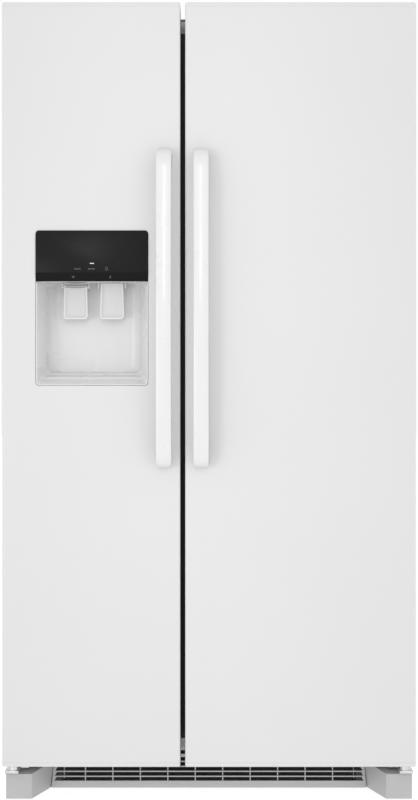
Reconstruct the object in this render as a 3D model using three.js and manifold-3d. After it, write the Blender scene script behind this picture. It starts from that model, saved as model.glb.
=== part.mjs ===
// Side-by-side refrigerator: a narrow freezer on the left with an ice and water dispenser in its door, and a
// wide fresh-food compartment on the right. Millimetres, +Z up, the front faces -Y, and the origin is on the
// floor under the middle of the whole object.
import * as THREE from "three";
import { mergeVertices } from "three/addons/utils/BufferGeometryUtils.js";
import Module from "manifold-3d";

const wasm = await Module();
wasm.setup();

// ---------------------------------------------------------------- driving sizes
const overallWidth = 917.5; // across the two doors
const doorTop = 1779; // floor to the top of the doors
const doorBottom = 84; // floor to the bottom of the doors
const freezerDoorWidth = 395;
const doorGap = 11; // between the two doors
const doorThickness = 62;
const gasketDepth = 11.4;
const gasketClear = 0.3; // gasket to the door liner, and to the case
const cabinetDepth = 730; // the case without its doors
const doorRise = 17; // the doors stand this far above the top of the case
const boxBottom = 130; // floor to the underside of the insulated box
const sideBottom = 30; // floor to the lower edge of the side panels
const caseInset = 1.5; // the case is this much narrower than the doors on each side
const sheet = 1; // painted steel
const linerWall = 2.2; // vacuum-formed plastic
const wallThickness = 48; // insulated walls, top and floor
const rearThickness = 60; // insulated back
const mullionThickness = 66; // insulated wall between the compartments
const machineHeight = 300; // machine compartment at the bottom of the back
const machineDepth = 240;
const hingeInset = 21; // door's outer edge to the hinge pin
const hingeSetback = 30; // door's front face to the hinge pin
const pinRadius = 5;
const rollerRadius = 24;
const handleStandoff = 58; // door's front face to the front of the handle
const binDepth = 105; // door bins, front to back
const dispenserWidth = 249.4;
const dispenserShift = 1.8; // middle of the door to the middle of the dispenser, towards the free edge
const gap = 0.5; // between pieces that touch
const running = 1.5; // between pieces that slide on one another
const past = 1; // how far a cutting solid runs past the face that it opens
const bury = 0.5; // how far a rib or a post is drawn into the wall that it joins

// ---------------------------------------------------------------- places worked out from them
// y is measured from the front face of the doors, and the whole object is centred at the end.
const caseFront = doorThickness + gasketDepth + 2 * gasketClear;
const caseRear = caseFront + cabinetDepth;
const caseHalf = overallWidth / 2 - caseInset;
const caseTop = doorTop - doorRise;
const freshDoorWidth = overallWidth - freezerDoorWidth - doorGap;
const mullionX = -overallWidth / 2 + freezerDoorWidth + doorGap / 2;
const innerFloor = boxBottom + wallThickness;
const innerTop = caseTop - wallThickness;
const innerRear = caseRear - rearThickness;
const machineTop = sideBottom + machineHeight;
const machineFront = caseRear - machineDepth;
const stepFloor = machineTop + wallThickness; // inner floor over the machine compartment
const stepFront = machineFront - wallThickness; // where the inner floor steps up
const freezerX = [-caseHalf + wallThickness, mullionX - mullionThickness / 2];
const freshX = [mullionX + mullionThickness / 2, caseHalf - wallThickness];
const baseTop = boxBottom - gap;

// ---------------------------------------------------------------- materials
const paint = (color, roughness, metalness = 0) => new THREE.MeshStandardMaterial({ color, roughness, metalness });
const enamel = paint(0xeeeeee, 0.35);
const whitePlastic = paint(0xf2f2f0, 0.3);
const dispenserWhite = paint(0xdcdcdc, 0.35);
const greyPlastic = paint(0xb4b4b4, 0.55);
const blackGloss = paint(0x2b2b2b, 0.2);
const rubber = paint(0x1a1a1a, 0.8);
const foam = paint(0xe8dcae, 0.9);
const zinc = paint(0xb8babc, 0.35, 0.9);
const galvanised = paint(0xa8abad, 0.5, 0.8);
const aluminium = paint(0xc8cacc, 0.4, 0.9);
const blackPaint = paint(0x1c1c1e, 0.4);
const darkPlastic = paint(0x3a3a3c, 0.6);
const clearPlastic = paint(0xe6eef0, 0.1);
const glass = paint(0xd8ece6, 0.05);
const filterBlue = paint(0x3d6a9c, 0.4);

// ---------------------------------------------------------------- ranges
// A range is a pair [low, high] along one axis.
const shrink = ([low, high], by) => [low + by, high - by];
const about = (middle, half) => [middle - half, middle + half];
const middleOf = ([low, high]) => (low + high) / 2;
// A range of x on one side of the middle, from two distances out from it.
const outward = (sign, inner, outer) => (sign > 0 ? [inner, outer] : [-outer, -inner]);
const sides = { left: -1, right: 1 };

// ---------------------------------------------------------------- shapes
const block = ([x0, x1], [y0, y1], [z0, z1]) =>
  new THREE.BoxGeometry(x1 - x0, y1 - y0, z1 - z0).translate((x0 + x1) / 2, (y0 + y1) / 2, (z0 + z1) / 2);

function roundedRect([x0, x1], [z0, z1], top, bottom = top) {
  const shape = new THREE.Shape();
  shape.moveTo(x0 + bottom, z0);
  shape.lineTo(x1 - bottom, z0);
  shape.absarc(x1 - bottom, z0 + bottom, bottom, -Math.PI / 2, 0);
  shape.lineTo(x1, z1 - top);
  shape.absarc(x1 - top, z1 - top, top, 0, Math.PI / 2);
  shape.lineTo(x0 + top, z1);
  shape.absarc(x0 + top, z1 - top, top, Math.PI / 2, Math.PI);
  shape.lineTo(x0, z0 + bottom);
  shape.absarc(x0 + bottom, z0 + bottom, bottom, Math.PI, 1.5 * Math.PI);
  return shape;
}

const toPoints = (pairs) => pairs.map(([a, b]) => new THREE.Vector2(a, b));
const outline = (pairs) => new THREE.Shape(toPoints(pairs));

// A shape drawn in x and z, made solid from y0 to y1.
const alongY = (shape, [y0, y1], curveSegments = 4) =>
  new THREE.ExtrudeGeometry(shape, { depth: y1 - y0, bevelEnabled: false, curveSegments })
    .rotateX(Math.PI / 2)
    .translate(0, y1, 0);

// A shape drawn in x and y, made solid from z0 to z1.
const alongZ = (shape, [z0, z1], curveSegments = 4) =>
  new THREE.ExtrudeGeometry(shape, { depth: z1 - z0, bevelEnabled: false, curveSegments }).translate(0, 0, z0);

// A shape drawn in y and z, made solid from x0 to x1.
const xAxis = new THREE.Vector3(1, 0, 0);
const yAxis = new THREE.Vector3(0, 1, 0);
const zAxis = new THREE.Vector3(0, 0, 1);
const yzToWorld = new THREE.Matrix4().makeBasis(yAxis, zAxis, xAxis);
const alongX = (shape, [x0, x1], curveSegments = 4) =>
  new THREE.ExtrudeGeometry(shape, { depth: x1 - x0, bevelEnabled: false, curveSegments })
    .applyMatrix4(yzToWorld)
    .translate(x0, 0, 0);

const cylinderZ = (r, [x, y], [z0, z1], steps = 20) =>
  new THREE.CylinderGeometry(r, r, z1 - z0, steps).rotateX(Math.PI / 2).translate(x, y, (z0 + z1) / 2);
const cylinderY = (r, [x, z], [y0, y1], steps = 20) =>
  new THREE.CylinderGeometry(r, r, y1 - y0, steps).translate(x, (y0 + y1) / 2, z);
const cylinderX = (r, [y, z], [x0, x1], steps = 20) =>
  new THREE.CylinderGeometry(r, r, x1 - x0, steps).rotateZ(Math.PI / 2).translate((x0 + x1) / 2, y, z);

// A closed skin over rings of equal length, each a list of Vector3.
function loft(rings) {
  const count = rings[0].length;
  const positions = rings.flat().flatMap((p) => [p.x, p.y, p.z]);
  const faces = [];
  for (let r = 0; r + 1 < rings.length; r++)
    for (let i = 0; i < count; i++) {
      const [a, b] = [r * count + i, r * count + ((i + 1) % count)];
      faces.push(a, b, b + count, a, b + count, a + count);
    }
  const last = (rings.length - 1) * count;
  for (let i = 1; i + 1 < count; i++) {
    faces.push(0, i + 1, i);
    faces.push(last, last + i, last + i + 1);
  }
  const skin = new THREE.BufferGeometry()
    .setAttribute("position", new THREE.BufferAttribute(new Float32Array(positions), 3))
    .setIndex(faces);
  return outwards(skin);
}

// Turns a skin right way out if its faces point in.
function outwards(geometry) {
  if (solid(geometry).volume() > 0) return geometry;
  const index = geometry.index.array;
  for (let i = 0; i < index.length; i += 3) [index[i + 1], index[i + 2]] = [index[i + 2], index[i + 1]];
  return geometry;
}

// A rounded rectangle in x and z, as a ring of points at depth y.
function ring([x0, x1], [z0, z1], r, y, arcSteps = 3) {
  const corners = [
    [x1 - r, z1 - r, 0],
    [x1 - r, z0 + r, -0.5],
    [x0 + r, z0 + r, -1],
    [x0 + r, z1 - r, -1.5],
  ];
  return corners.flatMap(([cx, cz, turn]) =>
    Array.from({ length: arcSteps + 1 }, (_, i) => {
      const a = Math.PI * (turn + 0.5 - (0.5 * i) / arcSteps);
      return new THREE.Vector3(cx + r * Math.cos(a), y, cz + r * Math.sin(a));
    }),
  );
}

// ---------------------------------------------------------------- joining and cutting
function solid(geometry) {
  if (geometry instanceof wasm.Manifold) return geometry;
  const bare = new THREE.BufferGeometry().setAttribute("position", geometry.getAttribute("position"));
  if (geometry.index) bare.setIndex(geometry.index);
  const merged = mergeVertices(bare, 1e-4);
  return new wasm.Manifold(
    new wasm.Mesh({
      numProp: 3,
      vertProperties: merged.attributes.position.array,
      triVerts: new Uint32Array(merged.index.array),
    }),
  );
}
const join = (first, ...rest) => rest.reduce((all, g) => all.add(solid(g)), solid(first));
const cut = (first, ...rest) => rest.reduce((all, g) => all.subtract(solid(g)), solid(first));
const common = (first, ...rest) => rest.reduce((all, g) => all.intersect(solid(g)), solid(first));

function geometryOf(manifold) {
  const mesh = manifold.getMesh();
  const n = mesh.numProp;
  const positions = new Float32Array(mesh.numVert * 3);
  for (let i = 0; i < mesh.numVert; i++) positions.set(mesh.vertProperties.subarray(i * n, i * n + 3), i * 3);
  return new THREE.BufferGeometry()
    .setAttribute("position", new THREE.BufferAttribute(positions, 3))
    .setIndex(new THREE.BufferAttribute(mesh.triVerts, 1));
}

const refrigerator = new THREE.Group();
const cabinet = new THREE.Group();
refrigerator.add(cabinet);

// Adds a piece to a group. A moving piece is drawn about its own axis and placed by `at`.
function piece(group, name, shape, material, at = [0, 0, 0]) {
  const mesh = new THREE.Mesh(shape instanceof wasm.Manifold ? geometryOf(shape) : shape, material);
  mesh.name = name;
  mesh.position.set(...at);
  group.add(mesh);
}

// ---------------------------------------------------------------- cabinet
const flangeWidth = 34; // folded front edge that the door gaskets seal against
const mullionHalf = mullionThickness / 2 - 2; // half of the steel strip over the mullion

function cabinetWrapper() {
  const outer = block([-caseHalf, caseHalf], [caseFront, caseRear], [sideBottom, caseTop]);
  const room = block(
    [-caseHalf + sheet, caseHalf - sheet],
    [caseFront - past, caseRear + past],
    [sideBottom - past, caseTop - sheet],
  );
  const frontSheet = [caseFront, caseFront + sheet];
  const foldZ = [boxBottom, caseTop - bury];
  const flange = block([-caseHalf + bury, caseHalf - bury], frontSheet, foldZ);
  const opening = block(
    [-caseHalf + flangeWidth, caseHalf - flangeWidth],
    shrink(frontSheet, -past),
    [boxBottom - past, caseTop - flangeWidth],
  );
  return join(cut(outer, room), cut(flange, opening), block(about(mullionX, mullionHalf), frontSheet, foldZ));
}

// Outer or inner form of a liner: a tall box with a shallower foot in front of the machine compartment.
function linerForm(x, grow, front) {
  const wide = shrink(x, -grow);
  const footTop = stepFloor + linerWall + past;
  return join(
    block(wide, [front, innerRear + grow], [stepFloor - grow, innerTop + grow]),
    block(wide, [front, stepFront + grow], [innerFloor - grow, footTop]),
  );
}

const linerFlangeY = [caseFront + sheet + gap, caseFront + sheet + gap + linerWall];
const insideSheet = caseHalf - sheet - gap; // half-width of what fits inside the case
const freezerIn = shrink(freezerX, linerWall);
const freshIn = shrink(freshX, linerWall);

// Ledges on the side walls carry the shelves and drawers.
const ledgeDepth = 9;
const ledgeHeight = 8;
function ledges([x0, x1], y, tops) {
  return tops.flatMap((z) => [
    block([x0 - bury, x0 + ledgeDepth], y, [z - ledgeHeight, z]),
    block([x1 - ledgeDepth, x1 + bury], y, [z - ledgeHeight, z]),
  ]);
}

function liner(span, flangeX, ledgeList) {
  const front = linerFlangeY[0];
  const flange = block(flangeX, linerFlangeY, [boxBottom + sheet + gap, caseTop - sheet - gap]);
  const shell = cut(join(linerForm(span, 0, front), flange), linerForm(span, -linerWall, front - past));
  return join(shell, ...ledgeList);
}

// Shelf and drawer levels, floor to the top of the ledge under each.
const binClear = 20.5; // door bins to the shelves behind them
const shelfFront = doorThickness + gap + binDepth + binClear;
const shelfThickness = 14;
const shelfRim = 14; // width of the frame round a shelf's pane
const paneLift = 5;
const paneThickness = 4;
const drawerClear = 10;
const drawerHeight = stepFloor - innerFloor - 2 * drawerClear;
const crisperCoverZ = stepFloor + drawerHeight + 3 * drawerClear;
const shelfPitch = (innerTop - crisperCoverZ) / 3;
const shelfZ = [0.95, 1.8].map((pitches) => crisperCoverZ + shelfPitch * pitches);
const lowerShelfRise = 162; // step of the floor to the lower freezer shelf
const middleShelfDrop = 80; // below the middle of the space above the step
const iceShelfDrop = 330; // ceiling to the shelf under the ice bin
const freezerShelfZ = [
  stepFloor + lowerShelfRise,
  (stepFloor + innerTop) / 2 - middleShelfDrop,
  innerTop - iceShelfDrop,
];

// A pane in a frame, resting on the ledges at height z.
function shelf(inside, rear, z) {
  const x = shrink(inside, running);
  const y = [shelfFront, rear];
  const frameZ = [z + gap, z + gap + shelfThickness];
  const paneZ = [frameZ[0] + paneLift, frameZ[0] + paneLift + paneThickness];
  const field = block(shrink(x, shelfRim), shrink(y, shelfRim), shrink(frameZ, -past));
  return join(cut(block(x, y, frameZ), field), block(x, y, paneZ));
}

const ductDepth = 92; // duct behind the rear panel of the freezer
const ductPanel = 3;
const evaporatorY = innerRear - linerWall - ductDepth; // front of that panel
const ledgeEnd = 4; // ledges stop this far short of the panel

function cabinetBox() {
  piece(cabinet, "cabinet_wrapper", cabinetWrapper(), enamel);
  const ledgeStart = shelfFront - 6;
  const freezerLedges = ledges(freezerIn, [ledgeStart, evaporatorY - ledgeEnd], freezerShelfZ);
  const freshLedges = ledges(freshIn, [ledgeStart, innerRear - linerWall - past], [crisperCoverZ, ...shelfZ]);
  const freezerFlange = [-insideSheet, mullionX - gap];
  const freshFlange = [mullionX + gap, insideSheet];
  piece(cabinet, "freezer_liner", liner(freezerX, freezerFlange, freezerLedges), whitePlastic);
  piece(cabinet, "fresh_food_liner", liner(freshX, freshFlange, freshLedges), whitePlastic);

  const foamFront = linerFlangeY[1] + gap;
  const filled = block(
    [-insideSheet, insideSheet],
    [foamFront, caseRear - sheet - 2 * gap],
    [boxBottom + sheet, caseTop - sheet - gap],
  );
  const machine = block([-caseHalf, caseHalf], [machineFront, caseRear + past], [boxBottom - past, machineTop]);
  const rooms = [freezerX, freshX].map((x) => linerForm(x, gap, foamFront - past));
  piece(cabinet, "cabinet_foam", cut(filled, machine, ...rooms), foam);
}

const louvreRows = 7;
const louvrePitch = 26;
const louvreHeight = 9;
const louvreRise = 40; // floor of the machine compartment to the lowest louvre
const louvreInner = 82; // middle of the back to the near end of each louvre
const louvreEdge = 82; // side of the case to the far end of each louvre
const glandInset = 46; // side of the case to the middle of each gland
const glandDrop = 60;
const glandDepth = 10;
const glandWall = 3;
const cordGland = 12; // radius of the collar that the supply cord leaves through
const waterGland = 9; // radius of the collar that the water pipe comes in through

// Back sheet, and the louvred cover over the machine compartment.
function backPanels() {
  const x = [-insideSheet, insideSheet];
  const y = [caseRear - sheet, caseRear];
  piece(cabinet, "rear_panel", block(x, y, [machineTop + gap, caseTop - sheet - gap]), galvanised);
  const slots = Object.values(sides).flatMap((sign) =>
    Array.from({ length: louvreRows }, (_, row) => {
      const z = panZ + louvreRise + row * louvrePitch;
      return block(outward(sign, louvreInner, caseHalf - louvreEdge), shrink(y, -past), [z, z + louvreHeight]);
    }),
  );
  const glands = [
    [-caseHalf + glandInset, cordGland],
    [caseHalf - glandInset, waterGland],
  ];
  const glandZ = machineTop - glandDrop;
  const collars = glands.map(([at, r]) => cylinderY(r + glandWall, [at, glandZ], [caseRear - glandDepth, caseRear]));
  const holes = glands.map(([at, r]) =>
    cylinderY(r, [at, glandZ], shrink([caseRear - glandDepth, caseRear], -past)),
  );
  const cover = join(block(x, y, [panZ, machineTop - gap]), ...collars);
  piece(cabinet, "machine_cover", cut(cover, ...slots, ...holes), galvanised);
}

// ---------------------------------------------------------------- base
const grilleY = doorThickness + 63; // front face of the toe grille
const footFront = 38; // front face of the foot covers
const footBottom = 3;
const footTop = 58.4; // at the front of a foot cover
const footRise = 8; // its top is this much higher at the back
const footWall = 2.5;
const footOuter = overallWidth / 2 - 3.2;
const footInner = footOuter - 58.2;
const footFlare = 32.8; // how far the inner wall of a foot cover leans in over its length
const grilleEnd = footInner - footFlare;
const grilleTop = 101;
const grilleLean = 10; // the ends of the grille lean in by this much at its top
const grilleClear = 0.8; // grille to the foot covers
const chassis = 2; // sheet of the base frame
const rollerX = caseHalf - 107;
const frontRollerY = grilleY + 42;
const rearRollerY = caseRear - 60;
const legX = caseHalf - 40;
const frontRollerLift = 1.5; // the levelling legs hold the front rollers this far off the floor
const axleRadius = 4;
const axleClear = 0.4;
const rollerWidth = 20;
const axleLength = rollerWidth + 16;
const panZ = 2 * rollerRadius + 4; // floor of the machine compartment, over the rear rollers

// Two ears that hold a roller's axle, hanging from height z.
function ears(x, y, z, axleZ) {
  const reach = rollerWidth / 2 + 2; // middle of the roller to the inside of an ear
  const [topHalf, tipHalf] = [16, 10];
  const side = outline([
    [y - topHalf, z],
    [y - tipHalf, axleZ - tipHalf],
    [y + tipHalf, axleZ - tipHalf],
    [y + topHalf, z],
  ]);
  const hole = cylinderX(axleRadius + axleClear, [y, axleZ], about(x, reach + chassis + past), 16);
  return [x - reach - chassis, x + reach].map((x0) => cut(alongX(side, [x0, x0 + chassis]), hole));
}

function baseFrame() {
  const x = [-insideSheet, insideSheet];
  const front = caseFront + gap;
  const step = machineFront - gap;
  const legScrew = 6;
  const legPad = 17;
  const padTop = 7;
  const parts = [
    block(x, [front, step], [baseTop - chassis, baseTop]),
    block(x, [front, front + chassis], [grilleTop + 2, baseTop]),
    block(x, [step - chassis, step], [panZ, baseTop]),
    block(x, [step - chassis, caseRear - sheet - 2 * gap], [panZ, panZ + chassis]),
  ];
  for (const sign of Object.values(sides)) {
    const leg = [sign * legX, frontRollerY];
    parts.push(cylinderZ(legScrew, leg, [padTop - past, baseTop - bury], 12), cylinderZ(legPad, leg, [0, padTop]));
    parts.push(...ears(sign * rollerX, frontRollerY, baseTop - bury, rollerRadius + frontRollerLift));
    parts.push(...ears(sign * rollerX, rearRollerY, panZ + bury, rollerRadius));
  }
  return join(...parts);
}

// Grille: thin slats with upright ribs behind them, over a plain bottom bar.
const slotHeight = 8.7;
const slotPitch = 11.5;
const slotBase = 18.8; // floor to the lowest slot
const slotRows = 6;
const topSlotRise = 4.5; // the top slot sits this much higher, over a broader slat
const slotEnd = 6; // end of the grille to the end of a slot
const slotLean = 4; // the top of a slot ends this much further in
const slatDepth = 4;
const ribPitch = 63.4;
const ribHalf = 1.2;
const ribSetback = 2;
const ribDepth = 6;
const ribEnd = 40; // no rib is nearer than this to the end of the grille
const hookDepth = 14; // turned-back top edge that hooks under the front rail
const hookThickness = 2.5;

// How far from the middle the grille's end is at height z.
const grilleEdge = (z) => grilleEnd - (grilleLean * (z - footBottom)) / (grilleTop - footBottom);

// Front view of a band across the grille, from z0 to z1, with its ends drawn in at the bottom and at the top.
function grilleBand([z0, z1], lowInset, highInset) {
  const low = grilleEdge(z0) - lowInset;
  const high = grilleEdge(z1) - highInset;
  return outline([
    [-low, z0],
    [low, z0],
    [high, z1],
    [-high, z1],
  ]);
}

function toeGrille() {
  const y = [grilleY, grilleY + slatDepth];
  const plate = alongY(grilleBand([footBottom, grilleTop], grilleClear, grilleClear), y);
  const slots = Array.from({ length: slotRows }, (_, row) => {
    const z0 = slotBase + row * slotPitch + (row === slotRows - 1 ? topSlotRise : 0);
    return alongY(grilleBand([z0, z0 + slotHeight], slotEnd, slotEnd + slotLean), shrink(y, -past));
  });
  const ribY = [grilleY + ribSetback, grilleY + ribSetback + ribDepth];
  const ribZ = [slotBase - 4, grilleTop - 2];
  const half = Math.floor((grilleEnd - ribEnd) / ribPitch);
  const ribs = Array.from({ length: 2 * half }, (_, i) => {
    const x = (i - half + 0.5) * ribPitch;
    return block(about(x, ribHalf), ribY, ribZ);
  });
  const hookHalf = grilleEdge(grilleTop) - slotLean;
  const hook = block([-hookHalf, hookHalf], [grilleY + bury, grilleY + hookDepth], [grilleTop - hookThickness, grilleTop]);
  return join(cut(plate, ...slots), ...ribs, hook);
}

// Eight corners, bottom four then top four, each [x, y, z], in the same order round.
const hexahedron = (low, high) => loft([low, high].map((r) => r.map((p) => new THREE.Vector3(...p))));

function footCover(sign) {
  const rear = grilleY + slatDepth;
  const lean = (grilleLean * (footTop + footRise)) / grilleTop;
  // The cover's outside, or its inside when `inset` is its wall.
  const form = (inset, bottom, back) => {
    const low = [
      [sign * (footOuter - inset), footFront + inset, bottom],
      [sign * (footOuter - inset), back, bottom],
      [sign * (footInner - footFlare + inset), back, bottom],
      [sign * (footInner + inset), footFront + inset, bottom],
    ];
    const rises = [0, footRise, footRise, 0];
    const leans = [0, 0, lean, 0];
    const high = low.map(([x, y], i) => [x - sign * leans[i], y, footTop + rises[i] - inset]);
    return hexahedron(low, high);
  };
  return cut(form(0, footBottom, rear), form(footWall, footBottom - past, rear + past));
}

function roller(width) {
  const chamfer = 2;
  const half = width / 2;
  const tyre = toPoints([
    [0, -half],
    [rollerRadius - chamfer, -half],
    [rollerRadius, -half + chamfer],
    [rollerRadius, half - chamfer],
    [rollerRadius - chamfer, half],
    [0, half],
  ]);
  const wheel = new THREE.LatheGeometry(tyre, 24).rotateZ(Math.PI / 2);
  return join(wheel, cylinderX(axleRadius, [0, 0], about(0, axleLength / 2), 12));
}

function baseParts() {
  piece(cabinet, "base_frame", baseFrame(), galvanised);
  piece(cabinet, "toe_grille", toeGrille(), greyPlastic);
  for (const [side, sign] of Object.entries(sides)) {
    piece(cabinet, `foot_cover_${side}`, footCover(sign), greyPlastic);
    const at = [sign * rollerX, frontRollerY, rollerRadius + frontRollerLift];
    piece(cabinet, `front_roller_${side}`, roller(rollerWidth), darkPlastic, at);
  }
  // One axle across the back with a roller at each end.
  const shaft = cylinderX(axleRadius, [0, 0], about(0, rollerX), 16);
  const wheels = Object.values(sides).map((sign) =>
    geometryOf(roller(rollerWidth)).translate(sign * rollerX, 0, 0),
  );
  piece(cabinet, "rear_roller_axle", join(shaft, ...wheels), darkPlastic, [0, rearRollerY, rollerRadius]);
}

// ---------------------------------------------------------------- hinges
const pinX = overallWidth / 2 - hingeInset;
const hingeOuter = 17; // pin to the outer edge of the bottom plates
const hingePlate = 6;
const hingeCollar = 11; // radius of the collar that carries the door
const collarHeight = 13;
const lowerPin = 22; // how far each lower pin stands up into the door
const upperPin = 24; // how far each upper pin hangs down into the door
const pinClear = 0.6;
const topPlate = 3;
const topPlateRear = 84; // front of the case to the rear end of a top hinge
const topPlateInner = 17; // pin to the inner edge of a top plate
const topPlateOuter = 13;

function bottomHinge(sign) {
  const [armInner, footInnerReach] = [13, 30];
  const plateTop = doorBottom - collarHeight;
  const plateZ = [plateTop - hingePlate, plateTop];
  const arm = outward(sign, pinX - armInner, pinX + hingeOuter);
  const foot = outward(sign, pinX - footInnerReach, pinX + hingeOuter);
  const footY = [caseFront - 10, caseFront - gap];
  const upright = [caseFront - gap - 4, caseFront - gap];
  const pin = [sign * pinX, hingeSetback];
  return join(
    block(arm, [hingeSetback - 14, footY[0] + 2], plateZ),
    block(foot, footY, plateZ),
    block(foot, upright, [plateZ[0], baseTop - 4]),
    cylinderZ(hingeCollar, pin, [plateTop - past, doorBottom - gap]),
    cylinderZ(pinRadius, pin, [plateTop - past, doorBottom + lowerPin], 16),
  );
}

// A plate bolted to the top of the case, stepped up over the door.
function topHinge(sign) {
  const x = outward(sign, pinX - topPlateInner, pinX + topPlateOuter);
  const lower = caseTop + gap;
  const upper = doorTop + gap;
  const nose = hingeSetback - 12;
  const step = caseFront - 2;
  const rear = caseFront + topPlateRear;
  const side = outline([
    [nose, upper],
    [step, upper],
    [step, lower],
    [rear, lower],
    [rear, lower + topPlate],
    [step + topPlate, lower + topPlate],
    [step + topPlate, upper + topPlate],
    [nose, upper + topPlate],
  ]);
  const pin = cylinderZ(pinRadius, [sign * pinX, hingeSetback], [doorTop - upperPin, upper + past], 16);
  return join(alongX(side, x), pin);
}

function hingeCap(sign) {
  const x = outward(sign, pinX - topPlateInner - 6, pinX + topPlateOuter + 4);
  const y = [caseFront + 4, caseFront + topPlateRear + 12];
  const z = [caseTop + gap, doorTop + gap + topPlate];
  const [rearStep, slope, wall] = [6, 18, 2];
  const side = outline([
    [y[0], z[0]],
    [y[1], z[0]],
    [y[1], z[0] + rearStep],
    [y[1] - slope, z[1]],
    [y[0], z[1]],
  ]);
  const hollow = block(shrink(x, wall), [y[0] - past, y[1] - 6], [z[0] - past, z[0] + topPlate + 4]);
  return cut(alongX(side, x), hollow);
}

function hinges() {
  for (const [side, sign] of Object.entries(sides)) {
    piece(cabinet, `bottom_hinge_${side}`, bottomHinge(sign), zinc);
    piece(cabinet, `top_hinge_${side}`, topHinge(sign), zinc);
    piece(cabinet, `hinge_cap_${side}`, hingeCap(sign), whitePlastic);
  }
}

// ---------------------------------------------------------------- machine compartment
const panTop = panZ + chassis;
const machineY = machineFront + machineDepth / 2;
const condenserFanRadius = 70;
const fanCentreZ = panTop + 100;
const fanX = 40;

// A tube that runs back and forth in x: `passes` straight runs, `pitch` apart and stacked upwards from `start`.
function serpentine(start, run, pitch, passes, radius) {
  const bendReach = 0.66; // makes each bend very nearly round
  const at = (a, b) => new THREE.Vector3(...start).addScaledVector(xAxis, a).addScaledVector(zAxis, b);
  const curves = [];
  for (let i = 0; i < passes; i++) {
    const [a0, a1] = i % 2 ? [run, 0] : [0, run];
    const [z0, z1] = [i * pitch, (i + 1) * pitch];
    curves.push(new THREE.LineCurve3(at(a0, z0), at(a1, z0)));
    if (i + 1 === passes) break;
    const out = a1 + (a1 > 0 ? 1 : -1) * pitch * bendReach;
    curves.push(new THREE.CubicBezierCurve3(at(a1, z0), at(out, z0), at(out, z1), at(a1, z1)));
  }
  // Points close together only in the bends, so that the straight runs stay cheap.
  const points = curves.flatMap((c, i) => c.getPoints(c.isLineCurve3 ? 1 : 4).slice(i ? 1 : 0));
  const tubeSides = 6;
  const rings = points.map((p, i) => {
    const before = points[Math.max(i - 1, 0)];
    const after = points[Math.min(i + 1, points.length - 1)];
    const side = new THREE.Vector3().crossVectors(yAxis, after.clone().sub(before)).normalize();
    return Array.from({ length: tubeSides }, (_, k) => {
      const a = (2 * Math.PI * k) / tubeSides;
      return p.clone().addScaledVector(yAxis, radius * Math.cos(a)).addScaledVector(side, radius * Math.sin(a));
    });
  });
  return loft(rings);
}

// A fan: a hub with twisted blades, spinning about x.
function fan(radius, hubRadius, width) {
  const blades = 5;
  const twist = 0.55;
  const bladeWall = 2.2;
  const root = hubRadius - 3;
  const hub = cylinderX(hubRadius, [0, 0], about(0, width / 2), 16);
  const made = Array.from({ length: blades }, (_, i) =>
    new THREE.BoxGeometry(bladeWall, radius - root, radius * twist)
      .translate(0, (radius + root) / 2, 0)
      .rotateY(twist)
      .rotateX((2 * Math.PI * i) / blades),
  );
  return join(hub, ...made);
}

// A welded steel dome on four feet, drawn about its own upright axis.
function compressor() {
  const r = Math.min(78, machineDepth / 2 - 30);
  const z0 = panTop + 22;
  const shoulderZ = 135;
  const seamZ = 99; // weld round the middle
  const profile = toPoints([
    [0, 0],
    [r * 0.7, 0],
    [r * 0.92, 12],
    [r, 34],
    [r, seamZ - 7],
    [r * 1.04, seamZ - 3],
    [r * 1.04, seamZ + 3],
    [r, seamZ + 7],
    [r * 0.94, shoulderZ],
    [r * 0.7, shoulderZ + 21],
    [r * 0.3, shoulderZ + 30],
    [0, shoulderZ + 30],
  ]);
  const shell = new THREE.LatheGeometry(profile, 24).rotateX(Math.PI / 2).translate(0, 0, z0);
  const footX = r + 8;
  const footY = r * 0.62;
  const signs = Object.values(sides);
  const feet = signs.flatMap((sx) =>
    signs.map((sy) => cylinderZ(11, [sx * footX, sy * footY], [panTop + gap, z0 + 2], 12)),
  );
  const base = block(about(0, footX + 14), about(0, footY + 14), [z0 - 3, z0 + 1]);
  const terminals = block([-r - 26, -r + 12], about(0, 26), [z0 + 40, z0 + 92]);
  return join(shell, base, terminals, ...feet);
}

// Two layers of tube between a stand on the left and the fan's shroud, which has the motor on an arm.
function condenser() {
  const x = [-caseHalf + 70, fanX - 48];
  const run = x[1] - x[0] - 70;
  const layerY = about(machineY, 80);
  const [tubeX, tubeZ] = [x[0] + 36, panTop + 26];
  const bottom = panTop + gap;
  const coils = layerY.map((y) => serpentine([tubeX, y, tubeZ], run, 34, 6, 5));
  const links = layerY.map((y) => block([tubeX + run - 6, x[1] + past], about(y, 3), [tubeZ + 30, tubeZ + 42]));
  const standX = [x[0] + 60, x[0] + 63];
  const stems = layerY.map((y) => block(standX, about(y, 4), [bottom, tubeZ + 175]));
  const tie = block(standX, shrink(layerY, -4), [bottom, bottom + 8]);
  const plate = block([x[1], x[1] + 3], about(machineY, 104), [bottom, panTop + 205]);
  const throat = cylinderX(condenserFanRadius + 8, [machineY, fanCentreZ], [x[1] - past, x[1] + 3 + past], 32);
  const arm = block(about(x[1], 2), about(machineY, 9), [fanCentreZ - condenserFanRadius - 12, fanCentreZ]);
  const motor = cylinderX(20, [machineY, fanCentreZ], [x[1] - 18, fanX - 11.5], 16);
  return join(cut(plate, throat), arm, motor, ...coils, ...links, ...stems, tie);
}

function machineParts() {
  const compressorX = caseHalf - 150;
  piece(cabinet, "compressor", compressor(), blackPaint, [compressorX, machineY, 0]);
  piece(cabinet, "condenser", condenser(), blackPaint);
  piece(cabinet, "condenser_fan", fan(condenserFanRadius, 20, 22), darkPlastic, [fanX, machineY, fanCentreZ]);
}

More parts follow.
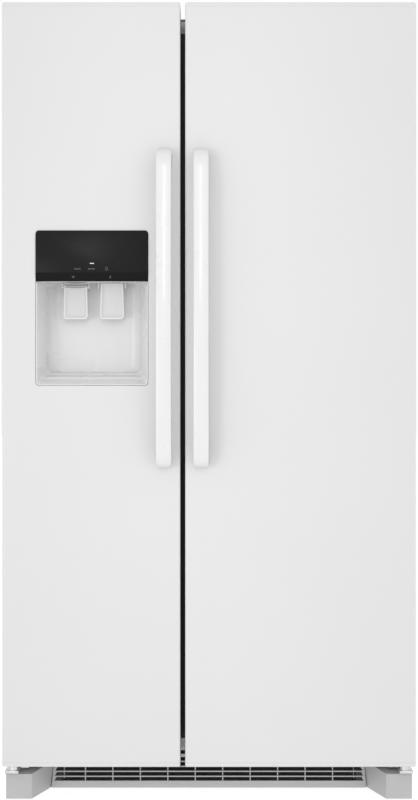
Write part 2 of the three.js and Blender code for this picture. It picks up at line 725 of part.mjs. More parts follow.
// ---------------------------------------------------------------- freezer compartment
const drawerFront = shelfFront + 6;
const drawerWall = 3;
const evaporatorFanRadius = 48;
const ductZ = [stepFloor + drawerHeight * 0.35, innerTop - 80];
const ductX = shrink(freezerIn, gap);
const freezerMid = middleOf(freezerIn);
const evaporatorFanZ = ductZ[1] - 150;

// An open-topped drawer or tray with a thicker front that has a finger lip.
function drawer(x, [y0, y1], [z0, z1]) {
  const body = block(x, [y0, y1], [z0, z1]);
  const frontWall = drawerWall + 4;
  const room = block(shrink(x, drawerWall), [y0 + frontWall, y1 - drawerWall], [z0 + drawerWall, z1 + past]);
  const lip = block(shrink(x, 20), [y0 - 8, y0 + past], [z1 - 10, z1 - 4]);
  return join(cut(body, room), lip);
}

function evaporator() {
  const y = evaporatorY + ductDepth / 2 + 2;
  const run = freezerIn[1] - freezerIn[0] - 110;
  const x0 = freezerMid - run / 2;
  const z0 = ductZ[0] + 60;
  const pitch = 58;
  const passes = 7;
  const finCount = 4;
  const finWall = 1.5;
  const finZ = shrink([z0, z0 + (passes - 1) * pitch], -12);
  const fins = Array.from({ length: finCount }, (_, i) => {
    const x = x0 + 12 + ((run - 26) * i) / (finCount - 1);
    return block([x, x + finWall], about(y, 22), finZ);
  });
  return join(serpentine([x0, y, z0], run, pitch, passes, 4.5), ...fins);
}

// Panel across the back of the freezer, with the fan's outlets at the top and the intake at the foot.
function ductCover() {
  const y = [evaporatorY, evaporatorY + ductPanel];
  const slotHalf = 90;
  const slots = (count, z0, pitch, height) =>
    Array.from({ length: count }, (_, i) => {
      const z = z0 + i * pitch;
      return block(about(freezerMid, slotHalf), shrink(y, -past), [z, z + height]);
    });
  const returns = [[ductX[0], ductX[0] + ductPanel], [ductX[1] - ductPanel, ductX[1]]].map((x) =>
    block(x, [y[0], innerRear - linerWall - gap], ductZ),
  );
  const outlets = slots(4, evaporatorFanZ + 10, 16, 7);
  const intake = slots(3, ductZ[0] + 14, 14, 6);
  return cut(join(block(ductX, y, ductZ), ...returns), ...outlets, ...intake);
}

const iceBinHeight = 120;
const iceBinFloor = freezerShelfZ[2] + shelfThickness + 3;
const iceBinZ = [iceBinFloor, iceBinFloor + iceBinHeight];
const iceBinX = shrink(freezerIn, ledgeDepth + 8);
const iceMakerFloor = iceBinZ[1] + 14;
const iceMakerX = [freezerMid - 108, freezerIn[1] - gap];
const iceMakerY = [shelfFront + 110, shelfFront + 230];
const iceMakerHead = 50; // width of the motor head on the right of the mould
const iceMouldHeight = 62;
const armRadius = 2;
const iceArmAt = [iceMakerX[1] - iceMakerHead - 6, iceMakerY[0] - 9, iceMakerFloor + 12];

function iceMaker() {
  const cups = 7;
  const rim = 7;
  const web = 4;
  const cupRadius = 24;
  const mouldX = [iceMakerX[0], iceMakerX[1] - iceMakerHead];
  const z = [iceMakerFloor, iceMakerFloor + iceMouldHeight];
  const pitch = (mouldX[1] - mouldX[0] - rim - 3) / cups;
  const pockets = Array.from({ length: cups }, (_, i) => {
    const x0 = mouldX[0] + rim + pitch * i;
    return cylinderX(cupRadius, [middleOf(iceMakerY), z[1] + 4], [x0, x0 + pitch - web], 12);
  });
  const mould = cut(block(mouldX, iceMakerY, z), ...pockets);
  const headX = [mouldX[1] - past, iceMakerX[1]];
  const head = block(headX, [iceMakerY[0] - 20, iceMakerY[1] + 4], [z[0] - 6, z[1] + 16]);
  const socket = cylinderX(armRadius + 1, [iceArmAt[1], iceArmAt[2]], [mouldX[1] - 10, mouldX[1] + 15], 12);
  return cut(join(mould, head), socket);
}

// Wire that feels how full the ice bin is, drawn from its pivot in the motor head.
function iceMakerArm() {
  const [span, reach, drop, foot] = [150, 78, 34, 90];
  const thick = 2 * armRadius;
  const around = about(0, armRadius);
  const crankX = [-span, -span + thick];
  const tipY = [-reach, -reach + thick];
  return join(
    block([-span, past], around, around),
    cylinderX(armRadius, [0, 0], [0, 16], 12),
    block(crankX, [-reach, armRadius], around),
    block(crankX, tipY, [-drop, armRadius]),
    block([-span, -span + foot], tipY, [-drop, -drop + thick]),
  );
}

// The bin has a spout that reaches forward over the chute in the door.
function iceBin() {
  const spoutX = about(freezerMid, 62);
  const spoutFront = caseFront + 24;
  const spoutZ = [iceBinZ[0], iceBinZ[0] + 84];
  const spout = (wall) =>
    block(shrink(spoutX, wall), [spoutFront + wall, drawerFront + 8], shrink(spoutZ, wall));
  const drop = block(shrink(spoutX, 20), [spoutFront + 6, spoutFront + 46], [iceBinZ[0] - past, iceBinZ[0] + 9]);
  const bin = drawer(iceBinX, [drawerFront, evaporatorY - 30], iceBinZ);
  return cut(join(bin, spout(0)), spout(drawerWall), drop);
}

function freezerParts() {
  piece(cabinet, "evaporator", evaporator(), aluminium);
  piece(cabinet, "evaporator_cover", ductCover(), whitePlastic);
  const blades = geometryOf(fan(evaporatorFanRadius, 16, 18)).rotateZ(Math.PI / 2);
  piece(cabinet, "evaporator_fan", blades, darkPlastic, [freezerMid, evaporatorY + ductDepth / 2, evaporatorFanZ]);
  ["lower", "middle", "upper"].forEach((level, i) => {
    piece(cabinet, `freezer_shelf_${level}`, shelf(freezerIn, evaporatorY - 6, freezerShelfZ[i]), clearPlastic);
  });
  const basket = drawer(
    shrink(freezerIn, 6),
    [drawerFront, stepFront - linerWall - 6],
    [innerFloor + linerWall + drawerClear / 2, stepFloor - drawerClear],
  );
  piece(cabinet, "freezer_basket", basket, whitePlastic);
  piece(cabinet, "ice_bin", iceBin(), clearPlastic);
  piece(cabinet, "ice_maker", iceMaker(), whitePlastic);
  piece(cabinet, "ice_maker_arm", iceMakerArm(), zinc, iceArmAt);
}

// ---------------------------------------------------------------- fresh-food compartment
const filterRadius = 25;
const filterLength = 208;
const filterGrip = 10; // how far the filter's cap stands out of its housing

// A cartridge with a cap and a finger grip, drawn about its own axis along y.
function waterFilter() {
  const capRadius = filterRadius - 1;
  const bodyRadius = filterRadius - 0.5;
  const profile = toPoints([
    [0, -filterGrip],
    [capRadius - 2, -filterGrip],
    [capRadius, -filterGrip + 4],
    [capRadius, 0],
    [bodyRadius, 0],
    [bodyRadius, filterLength - 8],
    [bodyRadius - 7.5, filterLength],
    [0, filterLength],
  ]);
  const grip = block(about(0, 3), [-filterGrip - 8, -filterGrip + past], about(0, filterRadius - 6));
  return join(new THREE.LatheGeometry(profile, 24), grip);
}

function freshParts() {
  const drawerX = shrink(freshIn, 5);
  const lowerZ = [innerFloor + linerWall + drawerClear / 2, stepFloor - drawerClear];
  const upperZ = [stepFloor + linerWall + drawerClear / 2, crisperCoverZ - drawerClear - ledgeHeight];
  const shelfRear = innerRear - linerWall - 40;
  piece(cabinet, "crisper_lower", drawer(drawerX, [drawerFront, stepFront - linerWall - 6], lowerZ), clearPlastic);
  piece(cabinet, "crisper_upper", drawer(drawerX, [drawerFront, shelfRear - 20], upperZ), clearPlastic);
  piece(cabinet, "crisper_cover", shelf(freshIn, shelfRear, crisperCoverZ), glass);
  piece(cabinet, "shelf_lower", shelf(freshIn, shelfRear, shelfZ[0]), glass);
  piece(cabinet, "shelf_upper", shelf(freshIn, shelfRear, shelfZ[1]), glass);

  // Control housing across the ceiling, with the lamp recess and the water filter in it.
  const x = shrink(freshIn, ledgeDepth + 3);
  const y = [shelfFront + 10, shelfFront + 250];
  const z = [innerTop - linerWall - 64, innerTop - linerWall - gap];
  const filterAt = [x[1] - filterRadius - 12, z[0] + 31];
  const bore = cylinderY(filterRadius + 1, filterAt, [y[0] - past, y[1] - 20], 24);
  const lamp = block([x[0] + 40, x[1] - 130], [y[0] + 60, y[0] + 180], [z[0] - past, z[0] + 20]);
  piece(cabinet, "control_housing", cut(block(x, y, z), bore, lamp), whitePlastic);
  piece(cabinet, "water_filter", waterFilter(), filterBlue, [filterAt[0], y[0] - 1, filterAt[1]]);
}

// ---------------------------------------------------------------- doors
// A door is drawn from its hinge pin: u runs from its outer edge to its free edge, and `hand` is +1 where the
// free edge lies towards +x. Its y is measured from the pin, and z from the floor.
const gasketWidth = 16;
const gasketHingeInset = hingeInset - 2;
const gasketFreeInset = 6;
const gasketZ = [boxBottom + 4, caseTop - 5];
const dikeDepth = 44; // moulded side walls of the door liner, from its face to their edge
const dikeWall = 14;
const dikeHingeInset = wallThickness + 10;
// How far the door's dikes and bins must stay from its free edge to swing clear of the compartment's wall.
const dikeFreeInset = mullionThickness / 2 - doorGap / 2 + linerWall + 12;
const dikeZ = shrink([innerFloor, innerTop], linerWall + 16);
const binHeight = 88;
const binWall = 2.5;
const binRadius = 22;
const handleWidth = 33.6;
const handleInset = 35.5; // free edge to the middle of the handle
const handleLength = 702;
const handleDrop = 328.5; // top of the doors to the top of the handles
const handleZ = [doorTop - handleDrop - handleLength, doorTop - handleDrop];

function doorAt(hand, width) {
  const group = new THREE.Group();
  group.position.set(-hand * pinX, hingeSetback, 0);
  cabinet.add(group);
  const x = (u) => hand * (u - hingeInset);
  const y = (fromFace) => fromFace - hingeSetback;
  const spanX = (u0, u1) => [x(u0), x(u1)].sort((a, b) => a - b);
  const spanY = (y0, y1) => [y(y0), y(y1)];
  return { group, hand, width, x, y, spanX, spanY };
}

// A steel pan with rounded edges, open at the back.
function doorPanel(door) {
  const bevel = 4;
  const skin = sheet + 1; // steel and the edge of its end caps
  const y = door.spanY(0, doorThickness - linerWall - gap);
  const corner = 1.5;
  const flat = roundedRect(shrink(door.spanX(0, door.width), bevel), shrink([doorBottom, doorTop], bevel), corner);
  const pan = new THREE.ExtrudeGeometry(flat, {
    depth: y[1] - y[0] - bevel,
    bevelEnabled: true,
    bevelSize: bevel,
    bevelThickness: bevel,
    bevelSegments: 3,
    curveSegments: 3,
  })
    .rotateX(Math.PI / 2)
    .translate(0, y[1], 0);
  // The bevel also rounds the rear edge, so the pan is trimmed back to its rim.
  const rim = block(door.spanX(-past, door.width + past), [y[0] - past, y[1]], shrink([doorBottom, doorTop], -past));
  const room = block(
    door.spanX(skin, door.width - skin),
    [y[0] + skin, y[1] + past],
    shrink([doorBottom, doorTop], skin),
  );
  return cut(common(pan, rim), room);
}

function pinHoles() {
  const radius = pinRadius + pinClear;
  return [
    cylinderZ(radius, [0, 0], [doorBottom - past, doorBottom + lowerPin + 2], 16),
    cylinderZ(radius, [0, 0], [doorTop - upperPin - 2, doorTop + past], 16),
  ];
}

function doorFoam(door) {
  const inner = sheet + 1 + gap;
  return block(
    door.spanX(inner, door.width - inner),
    door.spanY(inner, doorThickness - linerWall - 2 * gap),
    shrink([doorBottom, doorTop], inner),
  );
}

// Face sheet with moulded dikes down both sides and across the foot, and rests for the bins.
function doorLiner(door, shelves) {
  const edge = 1.5; // the liner stops this far inside the door's edges
  const face = block(
    door.spanX(edge, door.width - edge),
    door.spanY(doorThickness - linerWall, doorThickness),
    shrink([doorBottom, doorTop], edge),
  );
  const u = [dikeHingeInset, door.width - dikeFreeInset];
  const y = door.spanY(doorThickness - bury, doorThickness + dikeDepth);
  const dikes = [
    block(door.spanX(u[0], u[0] + dikeWall), y, dikeZ),
    block(door.spanX(u[1] - dikeWall, u[1]), y, dikeZ),
    block(door.spanX(...u), y, [dikeZ[0], dikeZ[0] + dikeWall]),
  ];
  const restWidth = 4;
  const restY = door.spanY(doorThickness + 6, doorThickness + dikeDepth - 4);
  const inner = shrink(u, dikeWall);
  const rests = shelves.flatMap((z) => [
    block(door.spanX(inner[0] - bury, inner[0] + restWidth), restY, [z - 8, z - gap]),
    block(door.spanX(inner[1] - restWidth, inner[1] + bury), restY, [z - 8, z - gap]),
  ]);
  return join(face, ...dikes, ...rests);
}

function gasket(door) {
  const u = [gasketHingeInset, door.width - gasketFreeInset];
  const y = door.spanY(doorThickness + gasketClear, doorThickness + gasketClear + gasketDepth);
  const frame = (inset, depth) => block(door.spanX(...shrink(u, inset)), depth, shrink(gasketZ, inset));
  // A groove round the middle of the outer face, where the bulb folds when the door shuts.
  const grooveY = [y[0] + 4.5, y[0] + 7];
  const grooveDepth = 4;
  const groove = cut(frame(-past, grooveY), frame(grooveDepth, grooveY));
  return cut(frame(0, y), frame(gasketWidth, shrink(y, -past)), groove);
}

// An open bin with round outer corners, standing on the rests at height z.
function bin(door, z, height = binHeight) {
  const u = shrink([dikeHingeInset, door.width - dikeFreeInset], dikeWall + 1);
  const x = door.spanX(...u);
  const y = door.spanY(doorThickness + gap, doorThickness + gap + binDepth);
  const form = (inset, span) => {
    const [x0, x1] = shrink(x, inset);
    const [y0, y1] = shrink(y, inset);
    const shape = new THREE.Shape();
    shape.moveTo(x0, y0);
    shape.lineTo(x1, y0);
    shape.lineTo(x1, y1 - binRadius);
    shape.absarc(x1 - binRadius, y1 - binRadius, binRadius, 0, Math.PI / 2);
    shape.lineTo(x0 + binRadius, y1);
    shape.absarc(x0 + binRadius, y1 - binRadius, binRadius, Math.PI / 2, Math.PI);
    return alongZ(shape, span);
  };
  return cut(form(0, [z, z + height]), form(binWall, [z + binWall, z + height + past]));
}

// An arched bar: its side view and its front view, crossed.
function handle(door) {
  const [z0, z1] = handleZ;
  const middleZ = middleOf(handleZ);
  const front = door.y(-handleStandoff);
  const face = door.y(-gap);
  const bow = 9; // the middle stands further out than the shoulders
  const bar = 15; // thickness of the bar, front to back
  const shoulder = 46; // height of the bend at each end
  const ledge = 18; // flat end of each foot, out from the door
  const footHeight = 32; // of each foot against the door
  const outer = front + bow;
  const inner = outer + bar;
  const side = new THREE.Shape();
  side.moveTo(face, z0 + 2);
  side.lineTo(face - ledge, z0);
  side.bezierCurveTo(outer + 10, z0 + 2, outer + 1, z0 + shoulder * 0.4, outer, z0 + shoulder);
  side.quadraticCurveTo(front - bow, middleZ, outer, z1 - shoulder);
  side.bezierCurveTo(outer + 1, z1 - shoulder * 0.4, outer + 10, z1 - 2, face - ledge, z1);
  side.lineTo(face, z1 - 2);
  side.lineTo(face, z1 - footHeight);
  side.lineTo(face - 12, z1 - footHeight + 4);
  side.quadraticCurveTo(inner, z1 - footHeight - 2, inner, z1 - shoulder - 20);
  side.quadraticCurveTo(front - bow + bar, middleZ, inner, z0 + shoulder + 20);
  side.quadraticCurveTo(inner, z0 + footHeight + 2, face - 12, z0 + footHeight - 4);
  side.lineTo(face, z0 + footHeight);
  const middle = door.width - handleInset;
  const x = door.spanX(middle - handleWidth / 2, middle + handleWidth / 2);
  const arc = 6; // how far the round ends rise in the middle
  const plan = new THREE.Shape();
  plan.moveTo(x[0], z0 + arc);
  plan.quadraticCurveTo(middleOf(x), z0 - arc, x[1], z0 + arc);
  plan.lineTo(x[1], z1 - arc);
  plan.quadraticCurveTo(middleOf(x), z1 + arc, x[0], z1 - arc);
  return common(alongX(side, x, 10), alongY(plan, [front - past, face + past], 6));
}

// ---------------------------------------------------------------- dispenser
const dispenserHeight = 343;
const dispenserDrop = 506.5; // top of the doors to the top of the dispenser
const dispenserZ = [doorTop - dispenserDrop - dispenserHeight, doorTop - dispenserDrop];
const dispenserRadius = 8;
const housingDepth = 12; // of the frame round the cavity
const frameProud = 1.5; // the frame stands this far out of the door
const fasciaHeight = 111;
const fasciaStrip = 17; // lower strip of the fascia, which leans back
const fasciaProud = 3;
const fasciaLean = 4;
const fasciaZ = dispenserZ[1] - fasciaHeight;
const cavityDepth = 88;
const cavityWall = 2.5;
const cavityRim = 3;
const cavitySide = 42; // how far each side wall has curved in at the back
const cavityPower = 2.6; // of the superellipse that the side walls follow
const cavityFloorRise = 27;
const paddleSpread = 41; // middle of the dispenser to the middle of each paddle
const paddleWidth = 56;
const paddleHeight = 69;
const paddlePinDrop = 11.5; // foot of the fascia to the paddles' pins
const paddleY = 52; // door's front face to the paddle's face
const paddlePinRadius = 3;
const chuteWidth = 58;
const chuteWall = 2;
const chuteHang = 8; // how far the chute shows below the fascia
const chuteFront = 24; // door's front face to the front of the ice chute
const chuteDepth = doorThickness - chuteWall - chuteFront; // its rear wall reaches into the door liner
const chuteTop = iceBinZ[0] + 6;
const chuteWindow = 62; // height of the opening that the ice falls in through
const flapRise = 14; // foot of the fascia to the flap's pin

// The tub: rings from the mouth to the back, the side walls curving in and the floor rising.
function cavityForm(x, z, grow, [from, to]) {
  const rings = [0, 0.35, 0.6, 0.8, 0.93, 1].map((t) => {
    const inward = cavitySide * (1 - (1 - t ** cavityPower) ** (1 / cavityPower));
    const radius = dispenserRadius + 22 * t;
    const ringZ = [z[0] + cavityFloorRise * t - grow, z[1] + grow];
    return ring(shrink(x, inward - grow), ringZ, radius + grow, from + (to - from) * t);
  });
  return loft(rings);
}

// A dished plate hanging from a cross pin at the origin; its top stands `rise` over the pin.
function paddle(rise) {
  const x = about(0, paddleWidth / 2);
  const foot = -paddleHeight - 2;
  const plate = alongY(roundedRect(x, [foot, rise], 3, 9), [-4, 3]);
  const dish = alongY(roundedRect(shrink(x, 5), [foot + 6, rise - 8], 3, 6), [-5, -1]);
  const pin = cylinderX(paddlePinRadius, [0, 0], about(0, paddleWidth / 2 + 3.5), 12);
  return join(cut(plate, dish), pin);
}

// Fascia: flat panel over a strip that leans back to the mouth of the cavity.
function dispenserFascia(door, x) {
  const y = door.spanY(-fasciaProud, 7.5);
  const side = outline([
    [y[1], fasciaZ],
    [y[1], dispenserZ[1]],
    [y[0], dispenserZ[1]],
    [y[0], fasciaZ + fasciaStrip],
    [y[0] + fasciaLean, fasciaZ],
  ]);
  const squareCorner = 0.01;
  const front = roundedRect(x, [fasciaZ, dispenserZ[1]], dispenserRadius, squareCorner);
  return common(alongX(side, x), alongY(front, shrink(y, -past)));
}

function dispenser(door) {
  const middle = door.x(door.width / 2 + dispenserShift);
  const x = about(middle, dispenserWidth / 2);
  const cavityX = shrink(x, cavityRim);
  const cavityZ = [dispenserZ[0] + cavityRim, fasciaZ];
  const wallForm = (grow) => cavityForm(cavityX, cavityZ, grow, door.spanY(2, cavityDepth + grow));
  const mouthY = door.spanY(-10, bury);
  const cavity = join(
    cavityForm(cavityX, cavityZ, 0, door.spanY(0, cavityDepth)),
    block(cavityX, mouthY, [cavityZ[0] + 6, cavityZ[1]]),
    block(shrink(cavityX, 6), mouthY, cavityZ),
  );

  const chuteX = middle - door.hand * paddleSpread;
  const waterX = middle + door.hand * paddleSpread;
  const chuteSpan = about(chuteX, chuteWidth / 2);
  const chuteY = door.spanY(chuteFront, chuteFront + chuteDepth);
  const chuteForm = (grow) =>
    block(shrink(chuteSpan, -grow), shrink(chuteY, -grow), [fasciaZ - chuteHang - grow, chuteTop + grow]);
  const chuteInside = shrink(chuteSpan, chuteWall);
  const windowY = [chuteY[1] - 2 * chuteWall, chuteY[1] + past];
  const chuteRoom = join(
    block(chuteInside, shrink(chuteY, chuteWall), [fasciaZ - chuteHang - past, chuteTop - chuteWall]),
    block(chuteInside, windowY, [chuteTop - chuteWindow, chuteTop - chuteWall]),
  );

  // Ears on the ceiling of the tub hold the paddles' pins.
  const pinZ = fasciaZ - paddlePinDrop;
  const pinY = door.y(paddleY) + 4;
  const earWall = 3;
  const paddleEars = [chuteX, waterX].flatMap((centre) =>
    Object.values(sides).map((sign) => {
      const near = centre + sign * (paddleWidth / 2 + 0.8);
      const earX = [near, near + sign * earWall].sort((a, b) => a - b);
      return block(earX, about(pinY, 7), [pinZ - 8, fasciaZ + bury]);
    }),
  );
  const pinHole = cylinderX(paddlePinRadius + axleClear, [pinY, pinZ], x, 12);
  const flapAt = [0, chuteY[0] + 5, fasciaZ + flapRise];
  const flapHole = cylinderX(2.4, [flapAt[1], flapAt[2]], shrink(chuteSpan, -past), 12);

  const frame = alongY(roundedRect(x, dispenserZ, dispenserRadius), door.spanY(-frameProud, housingDepth));
  const pocketZ = [fasciaZ - gap, dispenserZ[1] + past];
  const pocket = block(shrink(x, -past), door.spanY(-6, 8), pocketZ);
  const open = cut(join(frame, wallForm(cavityWall)), cavity, pocket);
  const fitted = join(open, cut(chuteForm(0), chuteRoom), ...paddleEars);
  piece(door.group, "dispenser_housing", cut(fitted, chuteRoom, pinHole, flapHole), dispenserWhite);
  piece(door.group, "dispenser_fascia", dispenserFascia(door, x), blackGloss);

  // Flap that shuts the foot of the chute; it swings back when the ice paddle is pushed.
  const flapPlate = block(shrink(chuteSpan, chuteWall + running), [0, chuteDepth - 12], about(0, 1.2));
  piece(door.group, "chute_flap", join(flapPlate, cylinderX(2, [0, 0], chuteSpan, 10)), darkPlastic, flapAt);

  // The ice paddle stops under the chute, and the water paddle reaches up to the ceiling.
  piece(door.group, "ice_paddle", paddle(-2), dispenserWhite, [chuteX, pinY, pinZ]);
  piece(door.group, "water_paddle", paddle(paddlePinDrop - 2), dispenserWhite, [waterX, pinY, pinZ]);
  return { x, chuteSpan, chuteForm, wallForm };
}

function freezerDoor() {
  const door = doorAt(1, freezerDoorWidth);
  const { x, chuteSpan, chuteForm, wallForm } = dispenser(door);
  const hole = block(shrink(x, -gap), door.spanY(-5, housingDepth + gap), shrink(dispenserZ, -gap));
  piece(door.group, "freezer_door_panel", cut(doorPanel(door), hole, ...pinHoles()), enamel);
  const outerWall = wallForm(cavityWall + gap);
  const filled = cut(doorFoam(door), hole, outerWall, chuteForm(gap), ...pinHoles());
  piece(door.group, "freezer_door_foam", filled, foam);

  // The liner bulges into the freezer behind the dispenser's tub.
  const bulgeX = shrink(x, 4);
  const bulgeZ = [dispenserZ[0] + 2, fasciaZ + flapRise];
  const bulge = (inset) =>
    block(shrink(bulgeX, inset), door.spanY(doorThickness - 3, cavityDepth + 8 - inset), shrink(bulgeZ, inset));
  const room = bulge(linerWall);
  const shell = cut(bulge(0), room, outerWall);
  const window = block(chuteSpan, door.spanY(doorThickness - 8, doorThickness + 4), [
    chuteTop - chuteWindow - chuteWall,
    chuteTop,
  ]);
  const levels = [dikeZ[0] + 330, innerTop - 190];
  const lined = cut(join(doorLiner(door, levels), shell), room, chuteForm(gap), window);
  piece(door.group, "freezer_door_liner", lined, whitePlastic);
  piece(door.group, "freezer_door_gasket", gasket(door), rubber);
  piece(door.group, "freezer_handle", handle(door), enamel);
  piece(door.group, "freezer_bin_lower", bin(door, levels[0]), clearPlastic);
  piece(door.group, "freezer_bin_upper", bin(door, levels[1]), clearPlastic);
}

const dairyHeight = 96;
const lidPinRadius = 2.5;

function dairyBin(door, dairyZ) {
  const x = door.spanX(...shrink([dikeHingeInset, door.width - dikeFreeInset], dikeWall + 4));
  const lidAt = [0, door.y(doorThickness + 10), dairyZ + dairyHeight + 7];
  const lugZ = [dairyZ + dairyHeight - 20, lidAt[2] + 5];
  const lugs = [x[0] - 1, x[1] - 2].map((x0) => block([x0, x0 + 3], about(lidAt[1], 6), lugZ));
  const hole = cylinderX(lidPinRadius + axleClear, [lidAt[1], lidAt[2]], shrink(x, -4), 12);
  piece(door.group, "dairy_bin", cut(join(bin(door, dairyZ, dairyHeight), ...lugs), hole), clearPlastic);
  const lidX = shrink(x, 3);
  const lid = join(
    block(lidX, [0, binDepth - 8], [-2, 1]),
    block(lidX, [binDepth - 10, binDepth - 7], [-5, 1]),
    cylinderX(lidPinRadius, [0, 0], x, 12),
  );
  piece(door.group, "dairy_lid", lid, clearPlastic, lidAt);
}

function freshFoodDoor() {
  const door = doorAt(-1, freshDoorWidth);
  const levels = [dikeZ[0] + 400, dikeZ[0] + 740];
  const dairyZ = innerTop - 230;
  piece(door.group, "fresh_food_door_panel", cut(doorPanel(door), ...pinHoles()), enamel);
  piece(door.group, "fresh_food_door_foam", cut(doorFoam(door), ...pinHoles()), foam);
  piece(door.group, "fresh_food_door_liner", doorLiner(door, [...levels, dairyZ]), whitePlastic);
  piece(door.group, "fresh_food_door_gasket", gasket(door), rubber);
  piece(door.group, "fresh_food_handle", handle(door), enamel);
  piece(door.group, "fresh_food_bin_lower", bin(door, levels[0]), clearPlastic);
  piece(door.group, "fresh_food_bin_upper", bin(door, levels[1]), clearPlastic);
  dairyBin(door, dairyZ);
}

cabinetBox();
backPanels();
baseParts();
hinges();
machineParts();
freezerParts();
freshParts();
freezerDoor();
freshFoodDoor();

// The origin lies under the middle of the whole object, from the front of the handles to the back.
cabinet.position.y = -(caseRear - handleStandoff) / 2;

export default refrigerator;
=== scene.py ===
"""Side by side refrigerator: looks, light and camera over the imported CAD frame.

Metres, +Z up, front towards -Y.
"""

import math

import bmesh
import bpy
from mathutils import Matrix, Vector


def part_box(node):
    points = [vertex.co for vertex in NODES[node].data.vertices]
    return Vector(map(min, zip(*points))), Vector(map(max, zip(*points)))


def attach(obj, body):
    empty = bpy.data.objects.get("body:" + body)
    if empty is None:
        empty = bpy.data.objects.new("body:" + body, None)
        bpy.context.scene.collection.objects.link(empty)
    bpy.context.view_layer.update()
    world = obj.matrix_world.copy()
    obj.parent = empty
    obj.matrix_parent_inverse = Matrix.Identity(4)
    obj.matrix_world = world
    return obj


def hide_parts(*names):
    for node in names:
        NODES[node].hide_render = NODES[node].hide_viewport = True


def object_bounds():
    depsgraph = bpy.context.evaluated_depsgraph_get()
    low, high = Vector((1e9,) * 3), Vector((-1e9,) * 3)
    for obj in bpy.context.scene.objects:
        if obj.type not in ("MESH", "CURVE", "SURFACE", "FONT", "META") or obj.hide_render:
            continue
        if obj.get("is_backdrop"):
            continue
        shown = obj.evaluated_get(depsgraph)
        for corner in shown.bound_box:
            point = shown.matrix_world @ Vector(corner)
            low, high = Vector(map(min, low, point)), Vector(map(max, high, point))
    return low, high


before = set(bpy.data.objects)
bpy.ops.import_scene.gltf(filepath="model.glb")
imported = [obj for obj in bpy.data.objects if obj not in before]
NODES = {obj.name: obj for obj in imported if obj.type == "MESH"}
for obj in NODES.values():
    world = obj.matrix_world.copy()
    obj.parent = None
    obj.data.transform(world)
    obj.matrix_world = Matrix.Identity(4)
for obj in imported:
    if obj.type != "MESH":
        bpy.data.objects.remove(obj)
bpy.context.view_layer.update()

MM = 0.001

# ------------------------------------------------------------------ sizes that the CAD boxes don't give
EDGE_RADIUS = 4 * MM  # rounded edges of the doors
CAP_HEIGHT = 9 * MM  # plastic end caps of the doors
SEAM = 0.25 * MM  # open seam between a door's skin and its end caps
SKIN = 1.5 * MM  # painted steel with its backing
BODY_RADIUS = 6 * MM  # bend between the cabinet's sides and top
HANDLE_BOW = 9 * MM  # the middle stands this far in front of the shoulders
HANDLE_BAR = 15 * MM  # front to back
HANDLE_CROWN = 1.6 * MM  # the front falls back this far at its long edges
HANDLE_CORNER = 2.5 * MM
HANDLE_SHOULDER = 46 * MM  # each end turns into the bar over this height
HANDLE_STUB = (18 * MM, 12 * MM)  # each end runs square from the door for this: outer side, inner side
HANDLE_FOOT = (32 * MM, 28 * MM)  # height of each end: at the door, and where it turns
DISPENSER_RADIUS = 8 * MM  # corners of the dispenser's outline
FASCIA_STRIP = 17 * MM  # leaning strip along the foot of the fascia
FASCIA_SET_BACK = 0.3 * MM  # behind the front of the CAD piece
STRIP_STEP = 0.2 * MM  # the strip's top edge is this far behind the panel
STRIP_LEAN = 4 * MM  # and its foot this far
CAVITY_DEPTH = 86 * MM  # door's face to the back wall of the dispenser
CAVITY_LEAN = 22 * MM  # how far each side wall leans in from the mouth to the back
CAVITY_CORNER = (18 * MM, 16 * MM)  # rounded corner to the back wall: across, and front to back
CAVITY_LIP = 2.6 * MM  # outside of the tub to the mouth of the cavity
# Floor of the cavity: depth and height over its front lip, mm. Two low steps cross it.
FLOOR_STEPS = (
    (0, 0), (27.5, 12), (29.5, 15.5), (31, 16.2), (55, 21.5),
    (57.5, 25), (59, 25.8), (66, 26.5), (86, 28),
)
# Rim of the tub: in from the dispenser's outline, and back from the door's face, mm. A flange, then a roll.
TUB_RIM = (
    (-3.0, 4.0), (-3.0, 2.0), (0.2, 2.0), (0.35, 1.2), (0.6, 0.5),
    (1.0, 0.1), (1.5, 0.0), (2.1, 0.1), (2.45, 0.5),
)
# Depths of the cavity's rings, mm: close together where the floor steps and where the walls turn.
CAVITY_RINGS = (
    1.5, 4, 8, 15, 22, 26, 27.5, 28.5, 29.5, 31, 34, 42, 50, 54, 55,
    56.2, 57.5, 59, 63, 66, 70, 72.5, 75, 77.5, 80, 82, 84, 85, 85.7, 86,
)
TUB_WALL = 1.6 * MM
PADDLE_DISH = 3.6 * MM  # depth of the dish in a paddle
PADDLE_EAR = 3.5 * MM  # the pin stands out this far at each side of a paddle
CHUTE_HALF = (28 * MM, 17 * MM)  # half the mouth of the ice chute: across, and front to back
CHUTE_BACK = 41.5 * MM  # door's face to the middle of the mouth
CHUTE_HANG = 4.2 * MM  # the back of the mouth hangs this far under the ceiling
CAMERA_DISTANCE = 3.0  # camera to the front of the doors
CAMERA_HEIGHT = 0.8973
CAMERA_LENS = 60.95


# ------------------------------------------------------------------ node-material tools
MATERIALS = {}  # by name


def new_material(name):
    """Starts a material with one Principled shader, kept under its name, and a tool that adds nodes to it."""
    material = bpy.data.materials.new(name)
    MATERIALS[name] = material
    material.use_nodes = True
    tree = material.node_tree
    shader = tree.nodes["Principled BSDF"]

    def node(kind, **sockets):
        made = tree.nodes.new(kind)
        for socket, value in sockets.items():
            target = made.inputs[socket.replace("_", " ")]
            if isinstance(value, bpy.types.NodeSocket):
                tree.links.new(value, target)
            else:
                target.default_value = value
        return made

    return tree, shader, node


def grey(level, alpha=1.0):
    return (level, level, level, alpha)


